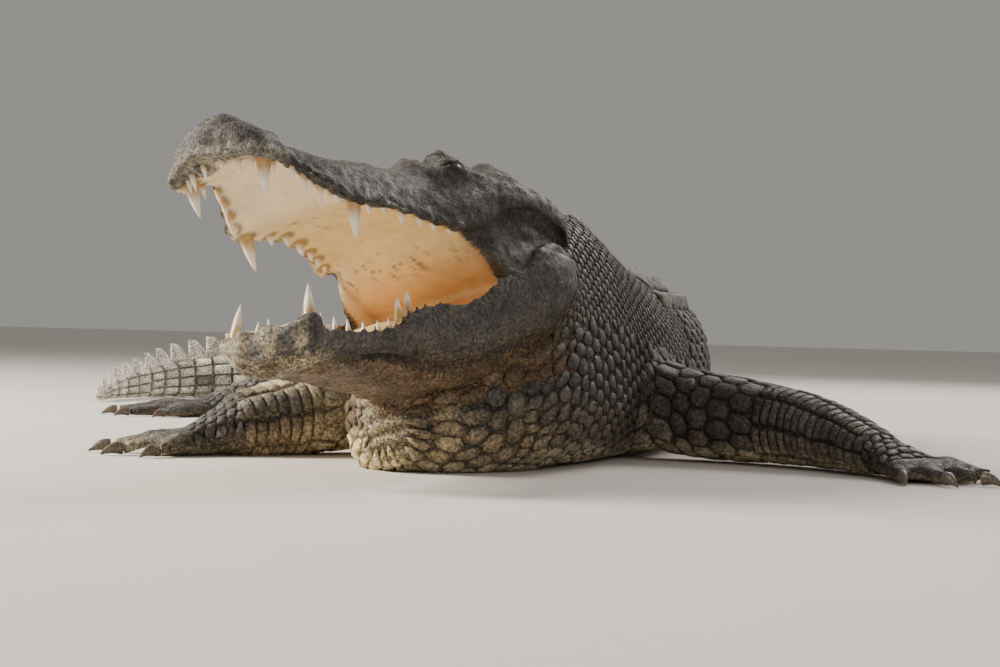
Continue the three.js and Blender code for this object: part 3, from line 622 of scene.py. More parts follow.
def inside_mouth(at):
    """1 on the lining of the mouth and 0 on the hide. The hide wraps round the lips to the teeth."""
    inner, near_side = -at.out * np.sign(at.left), at.left > 0
    gum = np.where(near_side, 0.012, -0.004) + 0.01 * by_teeth(at.x, at.y, UPPER_TEETH, 0, 0.03)
    over = smooth(0.0, 0.3, np.maximum(-at.up, inner)) * within(at.y - SKULL_W(at.x) + gum)
    over *= within(at.x - np.where(near_side, 0.985, 0.95)) * smooth(0.055, 0.035, at.lip)
    over *= 1 - smooth(0.36, 0.32, at.x) * smooth(0.15, 0.165, at.y)
    gum = 0.024 + 0.014 * by_teeth(at.jaw_x, at.y, TALL_LOWER, 0, 0.03)
    under = smooth(0.1, 0.5, at.up) * within(at.y - JAW_W(at.jaw_x) + gum) * within(at.jaw_x - 0.93)
    edge = 0.178 - 0.022 * smooth(0.55, 1.0, at.rise) - 0.012 * smooth(0.4, 0.0, at.rise)
    deep = smooth(0.006, -0.008, at.y - np.where(near_side, edge, 0.205)) * smooth(0.38, 0.36, at.x)
    deep *= smooth(-0.1, 0.15, inner + 1.2 * at.ahead) * smooth(0.04, 0.015, at.z) * smooth(-0.1, -0.04, at.rim)
    return np.clip(smooth(0.08, 0.12, at.x) * np.maximum(over * at.upper + under * at.lower, deep), 0, 1)


def jaw_crease(at, reach):
    """1 in the long crease of the lower jaw, which runs at about 0.8 of its depth."""
    line = 0.8 + 0.03 * np.sin(at.jaw_x * 17)
    return bell(at.depth - line, reach) * smooth(0.0, 0.12, at.jaw_x) * smooth(0.8, 0.7, at.jaw_x)


def hide_colour(points, normals):
    """The hide's colour at places on the body, with its painted light and shade, but without the painted shade between
    the scales and round the lids.
    """
    at = Places(points)
    (px, py, pz), (nx, ny, nz) = np.moveaxis(np.asarray(points), -1, 0), np.moveaxis(np.asarray(normals), -1, 0)
    patch, speck = rough_noise(points, 9, 3, 5), rough_noise(points, 85, 3, 9)
    head = smooth(-0.2, -0.1, at.x) * smooth(0.36, 0.3, at.y) * (1 - smooth(1.08, 1.3, at.depth) * at.lower)
    body, jaw, snout = 1 - head, head * at.lower, head * at.upper
    # Painted shade: the body's hide on the animal's left flank, right of about x = -0.07, is darkened and loses its
    # pale tan low down.
    flank = smooth(-0.07, 0.05, px) * (py < 0)
    far = smooth(-0.29, -0.33, px) * (py < 0.5)
    low = smooth(0.14, 0.03, pz + 0.02 * patch) * (1 - 0.75 * np.maximum(far, flank))
    front = smooth(-0.36, -0.5, py + 0.25 * px)
    faced = smooth(0.5, 0.05, ny) * body
    # Painted sunlight: the throat's front faces that turn left, towards the key lamp, get a brighter cream over their
    # own pale hide.
    throat = smooth(0.35, -0.5, nx) * front * smooth(-0.02, -0.12, px) * (1 - far) * smooth(0.19, 0.12, pz)
    arm = smooth(-0.33, -0.29, px) * smooth(-0.1, -0.14, px) * smooth(-0.5, -0.46, py) * smooth(-0.28, -0.34, py)
    # Where the tail's pale hide is painted in a sunlit white.
    tail = smooth(-0.3, -0.5, px) * smooth(0.62, 0.7, py)
    gular = jaw * smooth(0.7, 0.84, at.depth + 0.05 * patch) * smooth(-0.02, 0.12, at.jaw_x) * (at.depth < 1.2)
    # The far cheek flap is painted pale: its own pale inner side, with painted light where it lies in shade.
    flap = bell(at.x - 0.32, 0.06) * smooth(-0.1, -0.14, at.left) * smooth(-0.02, -0.05, at.z)
    colour = mix(DARK, SLATE, smooth(-0.4, 0.6, patch))
    colour = mix(colour, DUST, (0.45 - 0.12 * head) * smooth(0.15, 0.8, speck + 0.35 * nz))
    # The head is darker all over; the flank's painted shade darkens the body's hide there.
    colour = layered(colour * ((1 - 0.38 * head) * (1 - 0.16 * flank * body))[..., None], (
        (TAN, 0.9 * low * (0.35 + 0.65 * front) * smooth(0.35, -0.3, nz) * body),
        (CREAM, 0.8 * smooth(-0.45, -0.9, nz) * body),
        # painted sunlight on the throat's front, over its own cream
        (CREAM * (1.4, 1.3, 1.05), 0.9 * throat * faced),
        (CREAM * 1.1, 0.75 * arm * faced),
        # painted sunlight on the pale tail
        (CHALK, 0.92 * tail * smooth(-0.6, 0.0, speck + patch + 0.4)),
        (SLATE * 1.1, 0.5 * jaw * smooth(0.65, 0.5, at.depth)),
        (TAN * 0.5, 0.4 * jaw * bell(at.depth - 0.68, 0.12) * smooth(-0.4, 0.5, speck + patch)),
        (RUST, 0.85 * gular * smooth(-0.9, 0.2, speck + 0.3)),
        (TAN * 0.7, 0.35 * gular * smooth(0.1, 0.6, speck)),
        # painted shade in the long crease of the lower jaw
        (DARK * 0.5, 0.75 * jaw * jaw_crease(at, 0.025)),
        (CREAM * 0.75, 0.75 * at.lower * smooth(0.78, 0.9, at.jaw_x) * smooth(-0.4, 0.5, patch + speck)),
        # painted light on the far cheek flap, over its pale inner side
        (CREAM * 0.85, 0.8 * flap),
        (SLATE, 0.4 * snout * smooth(0.3, 0.5, at.x)),
        (DUST * 1.1, 0.6 * snout * bell(at.lip - 0.008, 0.016) * smooth(0.8, 0.95, at.x)),
        (DUST * 1.2, 0.7 * snout * at.near(SNOUT_BOSS, 0.05, 0.05) * smooth(0.02, 0.1, at.z)),
        (DUST * 0.95, 0.65 * snout * at.near(BROW, 0.1, 0.045) * smooth(0.2, 0.23, at.z) * smooth(0.0, 0.5, speck)),
    ))
    # Painted shade round the teeth where they leave the gums.
    rings = gum_rings(at, smooth(0.05, 0.02, at.z), smooth(0.35, 0.15, at.depth))
    return colour * (1 - 0.55 * np.clip(head * rings, 0, 1))[..., None]


def lining_colour(points):
    """The colour of the mouth's lining: cream, orange towards the throat, with dark flecks on the palate and painted
    shade round the teeth.
    """
    at = Places(points)
    patch = rough_noise(points, 26, 3, 3)
    back, corner = smooth(0.5, 0.28, at.x + 0.06 * patch), smooth(0.34, 0.3, at.x)
    fleck = smooth(0.45, 0.62, value_noise(at.head * [0.16, 0.48, 0.4], 230, 21))
    fleck = fleck * smooth(-0.3, 0.3, value_noise(points, 22, 8)) * at.upper
    colour = layered(PALATE, (
        (PALATE * (1.04, 1.12, 1.5), smooth(0.45, 0.85, at.x)),
        (ORANGE, 0.8 * back * smooth(0.0, -0.12, at.z + 0.03 * patch)),
        (RED, 0.4 * back * bell(at.y - 0.17, 0.012) * corner),
        (PALATE, 0.6 * smooth(0.17, 0.195, at.y) * corner),
        (FLECK, 0.75 * fleck * smooth(0.2, 0.3, at.x) * smooth(0.75, 0.55, at.x)),
    ))
    # painted shade round the teeth
    return colour * (1 - 0.7 * np.clip(gum_rings(at), 0, 1))[..., None]


# ---------------------------------------------------------------- relief of the head
def creased(points, scale, seed):
    """Noise with sharp valleys, from -1 in the creases to about 0.6."""
    return 1.6 * np.abs(value_noise(points, scale, seed)) ** 0.6 - 1


def lip_relief(at, skin):
    """Bulges over the roots of the teeth, the mound of the big lower tooth, and both jaws' ends."""
    lips = at.upper * bell(at.lip - 0.004, 0.014) * by_teeth(at.x, None, UPPER_TEETH, 0, 0.012)
    lips = lips + at.lower * bell(at.depth - 0.06, 0.12) * by_teeth(at.jaw_x, None, LOWER_TEETH, 0, 0.012)
    mound = 0.002 * at.near_jaw(BIG_TOOTH_MOUND, 0.035, 0.04) * bell(at.depth - 0.15, 0.4)
    tip = 0.011 * at.near_jaw(JAW_TIP, 0.02, 0.025) * smooth(0.3, 0.7, at.up)
    chin = 0.0035 * smooth(0.9, 0.95, at.jaw_x) * smooth(0.1, -0.3, at.up)
    snout = 0.0015 * smooth(0.9, 0.96, at.x) * smooth(0.3, 0.8, at.up)
    return 0.0028 * skin * (at.y > 0.03) * lips + at.lower * (mound + tip - chin) - at.upper * snout


def skull_relief(at, points):
    """The brow, the skull table, the snout's boss, ridges and nostrils, and the ears."""
    x, y, z = at.x, at.y, at.z

    def rough(scale, seed):
        return rough_noise(points, scale, 2, seed)

    def sharp(scale, seed):
        return creased(points, scale, seed)

    rise = at.near(BROW, 0.11, 0.07) * smooth(0.17, 0.21, z) * (
        0.0045 * rough(60, 41) + 0.006 * sharp(62, 42) + 0.0028 * sharp(120, 40))
    rise += at.near(TABLE, 0.1, 0.06) * smooth(0.14, 0.2, z) * (0.0022 * rough(80, 43) + 0.0012 * sharp(90, 44))
    rise += 0.0016 * bell(z - 0.205, 0.008) * bell(x - 0.3, 0.09) * smooth(0.1, 0.12, y)
    rise += 0.0018 * at.near(SNOUT_BOSS, 0.06, 0.05) * smooth(0.1, 0.13, z) * sharp(140, 45)
    ridge = bell(y - 0.045 - 0.05 * smooth(0.85, 0.35, x), 0.016)
    rise += 0.0016 * ridge * smooth(0.34, 0.45, x) * smooth(0.88, 0.8, x) * (z > 0.06)
    rise += smooth(0.86, 0.92, x) * smooth(0.05, 0.08, z) * (0.0022 * sharp(48, 46) + 0.0012 * sharp(100, 48))
    rise += 0.003 * at.near(NOSTRIL_RIM, 0.032, 0.026) - 0.010 * at.near(NOSTRIL, 0.014, 0.012) * (at.up > 0.2)
    ear = bell(z - 0.172 - 0.1 * (0.1 - x), 0.010) * smooth(-0.06, 0.0, x) * smooth(0.25, 0.2, x) * (y > 0.12)
    return at.upper * (rise - 0.0035 * ear)


def jaw_relief(at, points, skin):
    """The long crease and the folds of the lower jaw, its bulge below the cheek, its chin, and the mouth's corner."""
    x = at.jaw_x
    folds = np.sin((at.depth * 11 + 2.2 * rough_noise(points * [1, 1, 0.4], 14, 2, 47)) * math.pi)
    folds = 0.0016 * smooth(0.8, 0.88, at.depth) * smooth(0.9, 0.8, x) * folds
    rise = smooth(-0.1, 0.0, x) * (folds - 0.0075 * jaw_crease(at, 0.04))
    rise += 0.007 * bell(x - 0.06, 0.13) * bell(at.depth - 0.3, 0.3)
    rise += 0.0024 * smooth(0.8, 0.9, x) * creased(points, 60, 49)
    wrinkle = np.sin((at.z * 46 + 2.6 * rough_noise(points, 16, 2, 53)) * math.pi)
    corner = bell(at.x - 0.12, 0.14) * smooth(0.15, 0.18, at.y) * bell(at.z - 0.03, 0.08)
    return skin * (at.lower * rise + corner * (0.0013 * wrinkle + 0.001 * creased(points, 60, 54)))


def head_relief(points, normals):
    """How far the hide of the head stands out from its smooth form, in metres."""
    at = Places(points, normals)
    skin = 1 - inside_mouth(at)
    grain = 0.0007 * rough_noise(points, 130, 2, 31) + 0.0016 * rough_noise(points, 24, 2, 37)
    grain = skin * smooth(-0.2, -0.08, at.x) * (grain + 0.0007 * creased(points, 75, 33))
    return grain + lip_relief(at, skin) + skull_relief(at, points) + jaw_relief(at, points, skin)


EYE_GAZE = np.array([0.22, 0.90, 0.38])  # the way the left eye looks
# In eye radii: half the slit's length and height, how low it lies, and how it arches; how far from the eye's centre
# the lids and their edges lie and the hide is sunk within the slit; and how far round the eye the hide is moved.
LID_LONG, LID_OPEN, LID_SAG, LID_ARCH = 0.86, 0.08, 0.1, 0.12
LID_LEVEL, LID_EDGE, LID_SUNK, LID_NEAR, LID_FAR = 1.09, 0.09, 0.84, 1.12, 1.6


def eye_axes(side):
    """The eye's centre and its forward, upward and outward directions, in head lengths."""
    look = unit(EYE_GAZE * [1, side, 1])
    forward = unit(np.array([1.0, 0, 0]) - look * look[0])
    upward = np.array([0, 0, 1.0]) - look * look[2]
    upward -= forward * (upward @ forward)
    return np.array([EYE_AT[0], side * EYE_AT[1], EYE_AT[2]]), forward, unit(upward), look


def lid_gap(h, side):
    """Above 0 between the lids of one eye, falling away round them, for places in head lengths."""
    centre, forward, upward, look = eye_axes(side)
    d = h - centre
    a, b, c = (d @ axis / EYE_RADIUS for axis in (forward, upward, look))
    return 1 - ((a / LID_LONG) ** 2 + ((b + LID_SAG - LID_ARCH * (1 - a * a)) / LID_OPEN) ** 2), b, c


def eyelids(points):
    """Moves the hide round each eye: lids that lie on the eyeball, open in a narrow slit."""
    h = to_head(points)
    moved = np.array(h)
    for side in SIDES:
        centre = eye_axes(side)[0]
        d = h - centre
        r = np.linalg.norm(d, axis=-1)
        slit, b, c = lid_gap(h, side)
        opening = smooth(-0.2, 0.1, slit) * (c > 0.2)
        lid = LID_LEVEL + LID_EDGE * bell(slit + 0.5, 0.4)
        target = EYE_RADIUS * np.where(opening > 0.5, LID_SUNK, lid)
        share = smooth(LID_FAR * EYE_RADIUS, LID_NEAR * EYE_RADIUS, r) * smooth(-0.35, 0.25, c) * smooth(1.1, 0.75, b)
        new = centre + d / np.maximum(r, 1e-6)[..., None] * (r + (target - r) * share)[..., None]
        moved = np.where((share > 0)[..., None], new, moved)
    return to_world(moved)


# ---------------------------------------------------------------- materials
class Shader:
    """A material's nodes, made one after another."""

    def __init__(self, name):
        self.material = bpy.data.materials.new(name)
        self.material.use_nodes = True
        self.tree = self.material.node_tree
        self.shader = self.tree.nodes["Principled BSDF"]
        self.place = self.node("ShaderNodeTexCoord").outputs["Object"]

    def node(self, kind, **settings):
        made = self.tree.nodes.new(kind)
        for key, value in settings.items():
            if hasattr(made, key):
                setattr(made, key, value)
            else:
                made.inputs[key.replace("_", " ")].default_value = value
        return made

    def link(self, source, target):
        self.tree.links.new(source, target)

    def set(self, **values):
        for key, value in values.items():
            self.shader.inputs[key.replace("_", " ")].default_value = value

    def noise(self, scale, detail=4.0, rough=0.55):
        made = self.node("ShaderNodeTexNoise", Scale=scale, Detail=detail, Roughness=rough)
        self.link(self.place, made.inputs["Vector"])
        return made.outputs["Fac"]

    def cells(self, scale, feature="DISTANCE_TO_EDGE"):
        made = self.node("ShaderNodeTexVoronoi", feature=feature, Scale=scale, Randomness=1.0)
        self.link(self.place, made.inputs["Vector"])
        return made.outputs["Distance"]

    def ramp(self, source, low, high, to_low=0.0, to_high=1.0):
        made = self.node("ShaderNodeMapRange", interpolation_type="SMOOTHSTEP")
        for key, value in (("From Min", low), ("From Max", high), ("To Min", to_low), ("To Max", to_high)):
            made.inputs[key].default_value = value
        self.link(source, made.inputs["Value"])
        return made.outputs["Result"]

    def maths(self, operation, a, b):
        made = self.node("ShaderNodeMath", operation=operation)
        for socket, value in zip(made.inputs, (a, b)):
            if isinstance(value, (int, float)):
                socket.default_value = value
            else:
                self.link(value, socket)
        return made.outputs[0]

    def times(self, a, b):
        return self.maths("MULTIPLY", a, b)

    def less(self, share):
        return self.maths("SUBTRACT", 1.0, share)

    def blend(self, share, a, b):
        made = self.node("ShaderNodeMix", data_type="RGBA")
        for socket, value in ((made.inputs["Factor"], share), (made.inputs["A"], a), (made.inputs["B"], b)):
            if isinstance(value, tuple):
                socket.default_value = (*value, 1.0)
            else:
                self.link(value, socket)
        return made.outputs["Result"]

    def attribute(self, name, output="Fac"):
        return self.node("ShaderNodeAttribute", attribute_name=name).outputs[output]

    def bump(self, height, distance, strength=1.0, under=None):
        made = self.node("ShaderNodeBump")
        made.inputs["Strength"].default_value = strength
        made.inputs["Distance"].default_value = distance
        self.link(height, made.inputs["Height"])
        if under is not None:
            self.link(under, made.inputs["Normal"])
        return made.outputs["Normal"]

    def finish(self, colour=None, roughness=None, normal=None):
        for key, source in (("Base Color", colour), ("Roughness", roughness), ("Normal", normal)):
            if source is not None:
                self.link(source, self.shader.inputs[key])
        return self.material


def hide_material(name, crackle, pits, crack_depth, pit_depth):
    """Dry hide: painted tint, dusty specks, crackle and pits; smooth and moist where the lining begins."""
    m = Shader(name)
    tint, moist, cracked = m.attribute("tint", "Color"), m.attribute("moist"), m.attribute("cracked")
    dry = m.less(moist)
    blotch = m.ramp(m.noise(38, 5, 0.6), 0.3, 0.7, 0.68, 1.3)
    grain = m.ramp(m.noise(300, 5, 0.75), 0.36, 0.64, 0.32, 1.75)
    lines = m.ramp(m.cells(crackle), 0.0, 0.09)
    fine = m.ramp(m.cells(crackle * 2.3), 0.0, 0.13)
    dots = m.ramp(m.cells(pits, "F1"), 0.12, 0.42)
    # Painted shade: the colour is darkened in the crackle's lines, its finer cells and the pits, which the bumps below
    # also sink.
    shade = m.times(m.times(blotch, grain), m.less(m.times(m.less(lines), m.times(cracked, 0.55))))
    shade = m.times(shade, m.times(m.ramp(dots, 0, 1, 0.7, 1.05), m.ramp(fine, 0, 1, 0.78, 1.03)))
    soft = m.ramp(m.noise(60), 0.3, 0.7, 0.9, 1.08)
    shown = m.node("ShaderNodeVectorMath", operation="SCALE")
    m.link(tint, shown.inputs[0])
    m.link(m.maths("ADD", m.times(shade, dry), m.times(soft, moist)), shown.inputs["Scale"])
    dust = m.times(m.ramp(m.noise(240, 6, 0.75), 0.57, 0.68), m.times(dry, 0.4))
    colour = m.blend(dust, shown.outputs[0], (0.36, 0.32, 0.26))
    roughness = m.maths("SUBTRACT", m.ramp(m.noise(110), 0.3, 0.7, 0.46, 0.78), m.times(moist, 0.16))
    cracks = m.bump(m.times(lines, m.times(cracked, dry)), crack_depth, 0.9)
    pitted = m.bump(m.times(dots, dry), pit_depth, 0.8, cracks)
    worn = m.times(m.noise(330, 5, 0.65), m.maths("ADD", m.times(dry, 0.8), 0.2))
    m.set(Specular_IOR_Level=0.5)
    return m.finish(colour, roughness, m.bump(worn, 0.003, 0.6, pitted))


def paint(obj, colour, moist=0.0, cracked=0.5):
    """Stores the hide's tint, how moist it is and how deep its crackle is, at every point."""
    mesh = obj.data
    tint = mesh.attributes.new("tint", "FLOAT_COLOR", "POINT")
    rgba = np.ones((len(mesh.vertices), 4), np.float32)
    rgba[:, :3] = np.clip(colour, 0, 1)
    tint.data.foreach_set("color", rgba.ravel())
    for name, value in (("moist", moist), ("cracked", cracked)):
        layer = mesh.attributes.new(name, "FLOAT", "POINT")
        layer.data.foreach_set("value", np.broadcast_to(np.asarray(value, np.float32), (len(mesh.vertices),)).copy())


def mesh_arrays(mesh):
    points = np.empty(len(mesh.vertices) * 3)
    normals = np.empty(len(mesh.vertices) * 3)
    mesh.vertices.foreach_get("co", points)
    mesh.vertex_normals.foreach_get("vector", normals)
    return points.reshape(-1, 3), normals.reshape(-1, 3)


def move_points(mesh, points):
    mesh.vertices.foreach_set("co", np.ascontiguousarray(points, np.float32).ravel())
    mesh.update()


FLOOR_CLEAR = 0.0004  # how far the hide stays above the floor


def evened_out(mesh, values, rounds):
    """Averages a number at every point with its neighbours' a few times."""
    ends = np.empty(len(mesh.edges) * 2, np.int32)
    mesh.edges.foreach_get("vertices", ends)
    a, b = ends.reshape(-1, 2).T
    count = np.bincount(ends, minlength=len(values))
    for _ in range(rounds):
        total = np.bincount(a, values[b], len(values)) + np.bincount(b, values[a], len(values))
        values = 0.5 * values + 0.5 * total / count
    return values


def on_feet(points):
    """1 on the hands and feet, 0 above the wrists and ankles."""
    share = np.zeros(len(points))
    for limb in LIMBS.values():
        away = points[:, :2] - np.array(limb["joints"][-1][:2]) * MM
        past = smooth(0, 0.02, away @ compass(limb["heading"]))
        share = np.maximum(share, past * (np.linalg.norm(away, axis=1) < 0.2) * (points[:, 2] < 0.06))
    return share


def make_skin(settings):
    """The hide as one mesh, with its relief, its lids and its painted tints."""
    bm = build_skin_mesh(settings.fine_cell, settings.coarse_cell)
    front = [v for v in bm.verts if (v.co - SEAM_POINT).dot(SEAM_AHEAD) > 0]
    for verts in [bm.verts[:]] * 2 + [front] * settings.rounds:
        bmesh.ops.smooth_vert(bm, verts=verts, factor=0.5, use_axis_x=True, use_axis_y=True, use_axis_z=True)
    skin = new_object("skin", bm)
    points, normals = mesh_arrays(skin.data)
    behind = smooth(0.02, -0.2, to_head(points)[..., 0]) * (1 - 0.7 * on_feet(points))
    lift = settings.relief * head_relief(points, normals) - settings.coat_depth * behind
    points = eyelids(points + normals * lift[:, None])
    points[:, 2] = np.maximum(points[:, 2], FLOOR_CLEAR)
    move_points(skin.data, points)
    points, normals = mesh_arrays(skin.data)
    at = Places(points, normals)
    moist = smooth(0.3, 0.7, evened_out(skin.data, inside_mouth(at), 6))
    brow = at.near(BROW, 0.1, 0.06) * smooth(0.15, 0.2, at.z)
    cracked = 0.15 + 0.85 * smooth(0.55, 0.7, at.depth) * at.lower + smooth(0.0, -0.15, at.x) + brow
    # Painted shade: the hide is darkened under the scales, so the gaps between them look dark, and in and round the
    # slit of each eye's lids.
    gaps = [lid_gap(at.head, side) for side in SIDES]
    lids = sum(smooth(-3.5, 0.2, gap) * (out > 0.2) for gap, _, out in gaps)
    scaled = smooth(-0.1, -0.2, at.x) + smooth(1.1, 1.3, at.depth) * at.lower
    dirt = (1 - 0.6 * np.clip(scaled, 0, 1) * (1 - on_feet(points))) * (1 - 0.85 * np.clip(lids, 0, 1))
    hide = hide_colour(points, normals) * dirt[:, None]
    paint(skin, mix(hide, lining_colour(points), moist), moist, np.clip(cracked, 0, 1))
    return skin


# ---------------------------------------------------------------- scales
LOCAL = {4: np.array([-0.5, -0.43, 0, 0.43, 0.5]), 6: np.array([-0.5, -0.475, -0.37, 0, 0.37, 0.475, 0.5])}
RISE = {4: np.array([-0.35, 0.85, 1.0]), 6: np.array([-0.35, 0.45, 0.92, 1.0])}
REACH = 0.016  # scales further than this from the hide lie inside another part of the body and are left out
PATCH = 0.003  # width of one scale's patch on the unwrapped hide
SCALE_CLEAR = 0.0003  # how far the scales stay above the floor


def evened(surface, low, high, stations=200, count=145):
    """Places on a tube by station and by share v of the way round: 0 on top, positive to the left, 0.5 beneath."""
    at = np.linspace(low, high, stations)
    angle = np.linspace(math.pi / 2, -1.5 * math.pi, count)
    points = surface(at[:, None], angle[None, :])
    length = np.zeros((stations, count))
    length[:, 1:] = np.cumsum(np.linalg.norm(np.diff(points, axis=1), axis=-1), axis=1)
    shares = np.linspace(0, 1, count)
    table = np.array([np.interp(shares, row / row[-1], angle) for row in length])

    def place(station, v):
        row = (np.clip(station, low, high) - low) / (high - low) * (stations - 1)
        column = np.mod(v, 1) * (count - 1)
        i, k = np.minimum(row.astype(int), stations - 2), np.minimum(column.astype(int), count - 2)
        f, g = row - i, column - k
        a = (table[i, k] * (1 - g) + table[i, k + 1] * g) * (1 - f)
        a += (table[i + 1, k] * (1 - g) + table[i + 1, k + 1] * g) * f
        return surface(station, a)

    def normal(station, v):
        across = place(station, v + 0.004) - place(station, v - 0.004)
        lengthwise = place(station + 2, v) - place(station - 2, v)
        n = np.cross(across, lengthwise)
        return n / np.maximum(np.linalg.norm(n, axis=-1, keepdims=True), 1e-9)

    return place, normal, np.median(length[:, -1])


def band(start, end, low, high, long, wide, height, keel=0.0, gap=0.1, hexed=0.16, rounding=0.35, jitter=0.2, pit=0.0):
    """A stretch of a tube to be covered: stations and shares between limits, and the scales' own size in metres."""
    return dict(locals())


def lay(tube, unwrap, area, tree, cuts, seed):
    """Points, shade, pit and unwrapped place of every scale in one band."""
    place, normal, _ = tube
    rows = max(1, round((area["end"] - area["start"]) * MM / area["long"]))
    middle = 0.5 * (area["start"] + area["end"])
    around = np.linspace(area["low"], area["high"], 60)
    run = place(np.full(60, middle), around)
    columns = max(1, round(np.linalg.norm(np.diff(run, axis=0), axis=1).sum() / area["wide"]))
    j, i = (k.ravel() for k in np.meshgrid(np.arange(rows), np.arange(columns), indexing="ij"))
    brick = 0.5 * (j % 2) if area["hexed"] else 0.0 * j
    centre = np.stack([i + 0.5 + brick - 0.25 * (area["hexed"] > 0), j + 0.5], -1)
    a, b = (k.ravel() for k in np.meshgrid(LOCAL[cuts], LOCAL[cuts], indexing="ij"))
    step = np.minimum(np.arange(cuts + 1), np.arange(cuts, -1, -1))
    ring = np.minimum(step[:, None], step).ravel()
    disc = np.stack([a * np.sqrt(1 - 2 * b * b), b * np.sqrt(1 - 2 * a * a)], -1)
    square = np.stack([a, b + 2 * b * area["hexed"] * np.cos(2 * math.pi * a)], -1)
    local = square * (1 - area["rounding"]) + disc * area["rounding"]

    def drifted(unit):
        at = np.concatenate([unit, np.full(unit.shape[:-1] + (1,), seed * 3.7)], -1)
        drift = np.stack([value_noise(at, 0.9, seed), value_noise(at, 0.9, seed + 50)], -1)
        return unit + area["jitter"] * drift

    whole = drifted(centre[:, None] + local[None])
    mid = drifted(centre)[:, None]
    unit = mid + (whole - mid) * (1 - area["gap"])
    station = area["start"] + (area["end"] - area["start"]) * unit[..., 1] / rows
    v = area["low"] + (area["high"] - area["low"]) * unit[..., 0] / columns
    points, normals = place(station, v), normal(station, v)
    heart = place(station.mean(1), v.mean(1))
    keep = np.array([tree.find_nearest(Vector(point), REACH)[0] is not None for point in heart], bool)
    points, normals, station, v, centre = points[keep], normals[keep], station[keep], v[keep], centre[keep]
    flat = points.reshape(-1, 3)
    fixed = np.array([tree.find_nearest(Vector(p))[0] for p in flat]).reshape(points.shape)
    luck = lattice(np.concatenate([centre, centre[:, :1] * 0 + seed], -1), 3)[:, None]
    ridge = area["keel"] * np.maximum(0, 1 - np.abs(a) / 0.2) * (0.35 + 0.65 * smooth(-0.5, 0.35, b)) * (ring > 0)
    speck = bell(a, 0.14) * bell(b + 0.1, 0.14) * area["pit"]
    lift = area["height"] * (RISE[cuts][ring] * (0.85 + 0.3 * luck) - 0.3 * speck) + ridge * (0.8 + 0.4 * luck)
    points = fixed + normals * lift[..., None]
    points[..., 2] = np.maximum(points[..., 2], SCALE_CLEAR)
    # Painted shade: each scale darkens towards its buried edge, so the gaps look dark, and in its pit; the luck gives
    # each scale a tone of its own.
    shade = (0.80 + 0.42 * luck) * np.where(ring == 0, 0.35, np.where(ring == 1, 0.8, 1.08)) * (1 - 0.45 * speck)
    root = np.stack([unwrap[0] + unwrap[1] * station.mean(1), unwrap[2] + unwrap[3] * v.mean(1)], -1)
    patch = root[:, None] + PATCH * np.stack([a, b], -1)[None]
    return points, np.broadcast_to(normals, points.shape), shade, patch


def store_patches(mesh, places):
    """Stores where every point lies on the unwrapped hide."""
    corner = np.empty(len(mesh.loops), np.int32)
    mesh.loops.foreach_get("vertex_index", corner)
    layer = mesh.uv_layers.new(name="OFBake")
    layer.data.foreach_set("uv", np.ascontiguousarray(places[corner], np.float32).ravel())


def make_scales(name, fields, tree, cuts, settings):
    """Separate closed scales from one strip of grids, laid on the hide band by band."""
    laid = [lay(tube, unwrap, dict(area, height=area["height"] * settings.height, keel=area["keel"] * settings.keel),
                tree, cuts, seed + 1) for seed, (tube, unwrap, area) in enumerate(fields)]
    points, normals, shade, patch = (np.concatenate([part[k] for part in laid]) for k in range(4))
    across = len(points) * (cuts + 1) - 1
    bm = bmesh.new()
    bmesh.ops.create_grid(bm, x_segments=across, y_segments=cuts, size=0.5)
    between = [f for f in bm.faces if int((f.calc_center_median().x + 0.5) * across) % (cuts + 1) == cuts]
    bmesh.ops.delete(bm, geom=between, context="FACES")
    bmesh.ops.holes_fill(bm, edges=[e for e in bm.edges if e.is_boundary], sides=0)
    obj = new_object(name, bm)
    mesh = obj.data
    flat, _ = mesh_arrays(mesh)
    step = np.rint((flat[:, 0] + 0.5) * across).astype(int)
    tile = step // (cuts + 1)
    spot = (step % (cuts + 1)) * (cuts + 1) + np.rint((flat[:, 1] + 0.5) * cuts).astype(int)
    move_points(mesh, points[tile, spot])
    bm = bmesh.new()
    bm.from_mesh(mesh)
    bmesh.ops.recalc_face_normals(bm, faces=bm.faces[:])
    bm.to_mesh(mesh)
    bm.free()
    store_patches(mesh, patch[tile, spot])
    heart = points.mean(1, keepdims=True)
    colour = hide_colour(np.broadcast_to(heart, points.shape), normals)
    paint(obj, (colour * shade[..., None])[tile, spot], cracked=0.2)
    return obj


def body_tube():
    return evened(body_surface, THROAT_DOME, SPINE_AT[-1], 360)


def limb_tube(limb):
    """A limb as a tube whose stations are millimetres from the shoulder or hip."""
    surface = limb_surface(limb)
    run = catmull([j[:3] for j in limb["joints"]])
    gone = np.concatenate([[0], np.cumsum(np.linalg.norm(np.diff(run, axis=0), axis=1))])
    turn = np.linspace(0, len(limb["joints"]) - 1, len(run))
    return evened(lambda d, a: surface(np.interp(d, gone, turn), a), 0, gone[-1]), gone[-1]


# Place on the unwrapped hide at station 0 and share 0, and how far a station and a whole turn move it.
BODY_UNWRAP = (0.02 - THROAT * 0.00037, 0.00037, 0.3, 0.5)
LIMB_ROW = 0.052  # how far apart the limbs lie on the unwrapped hide


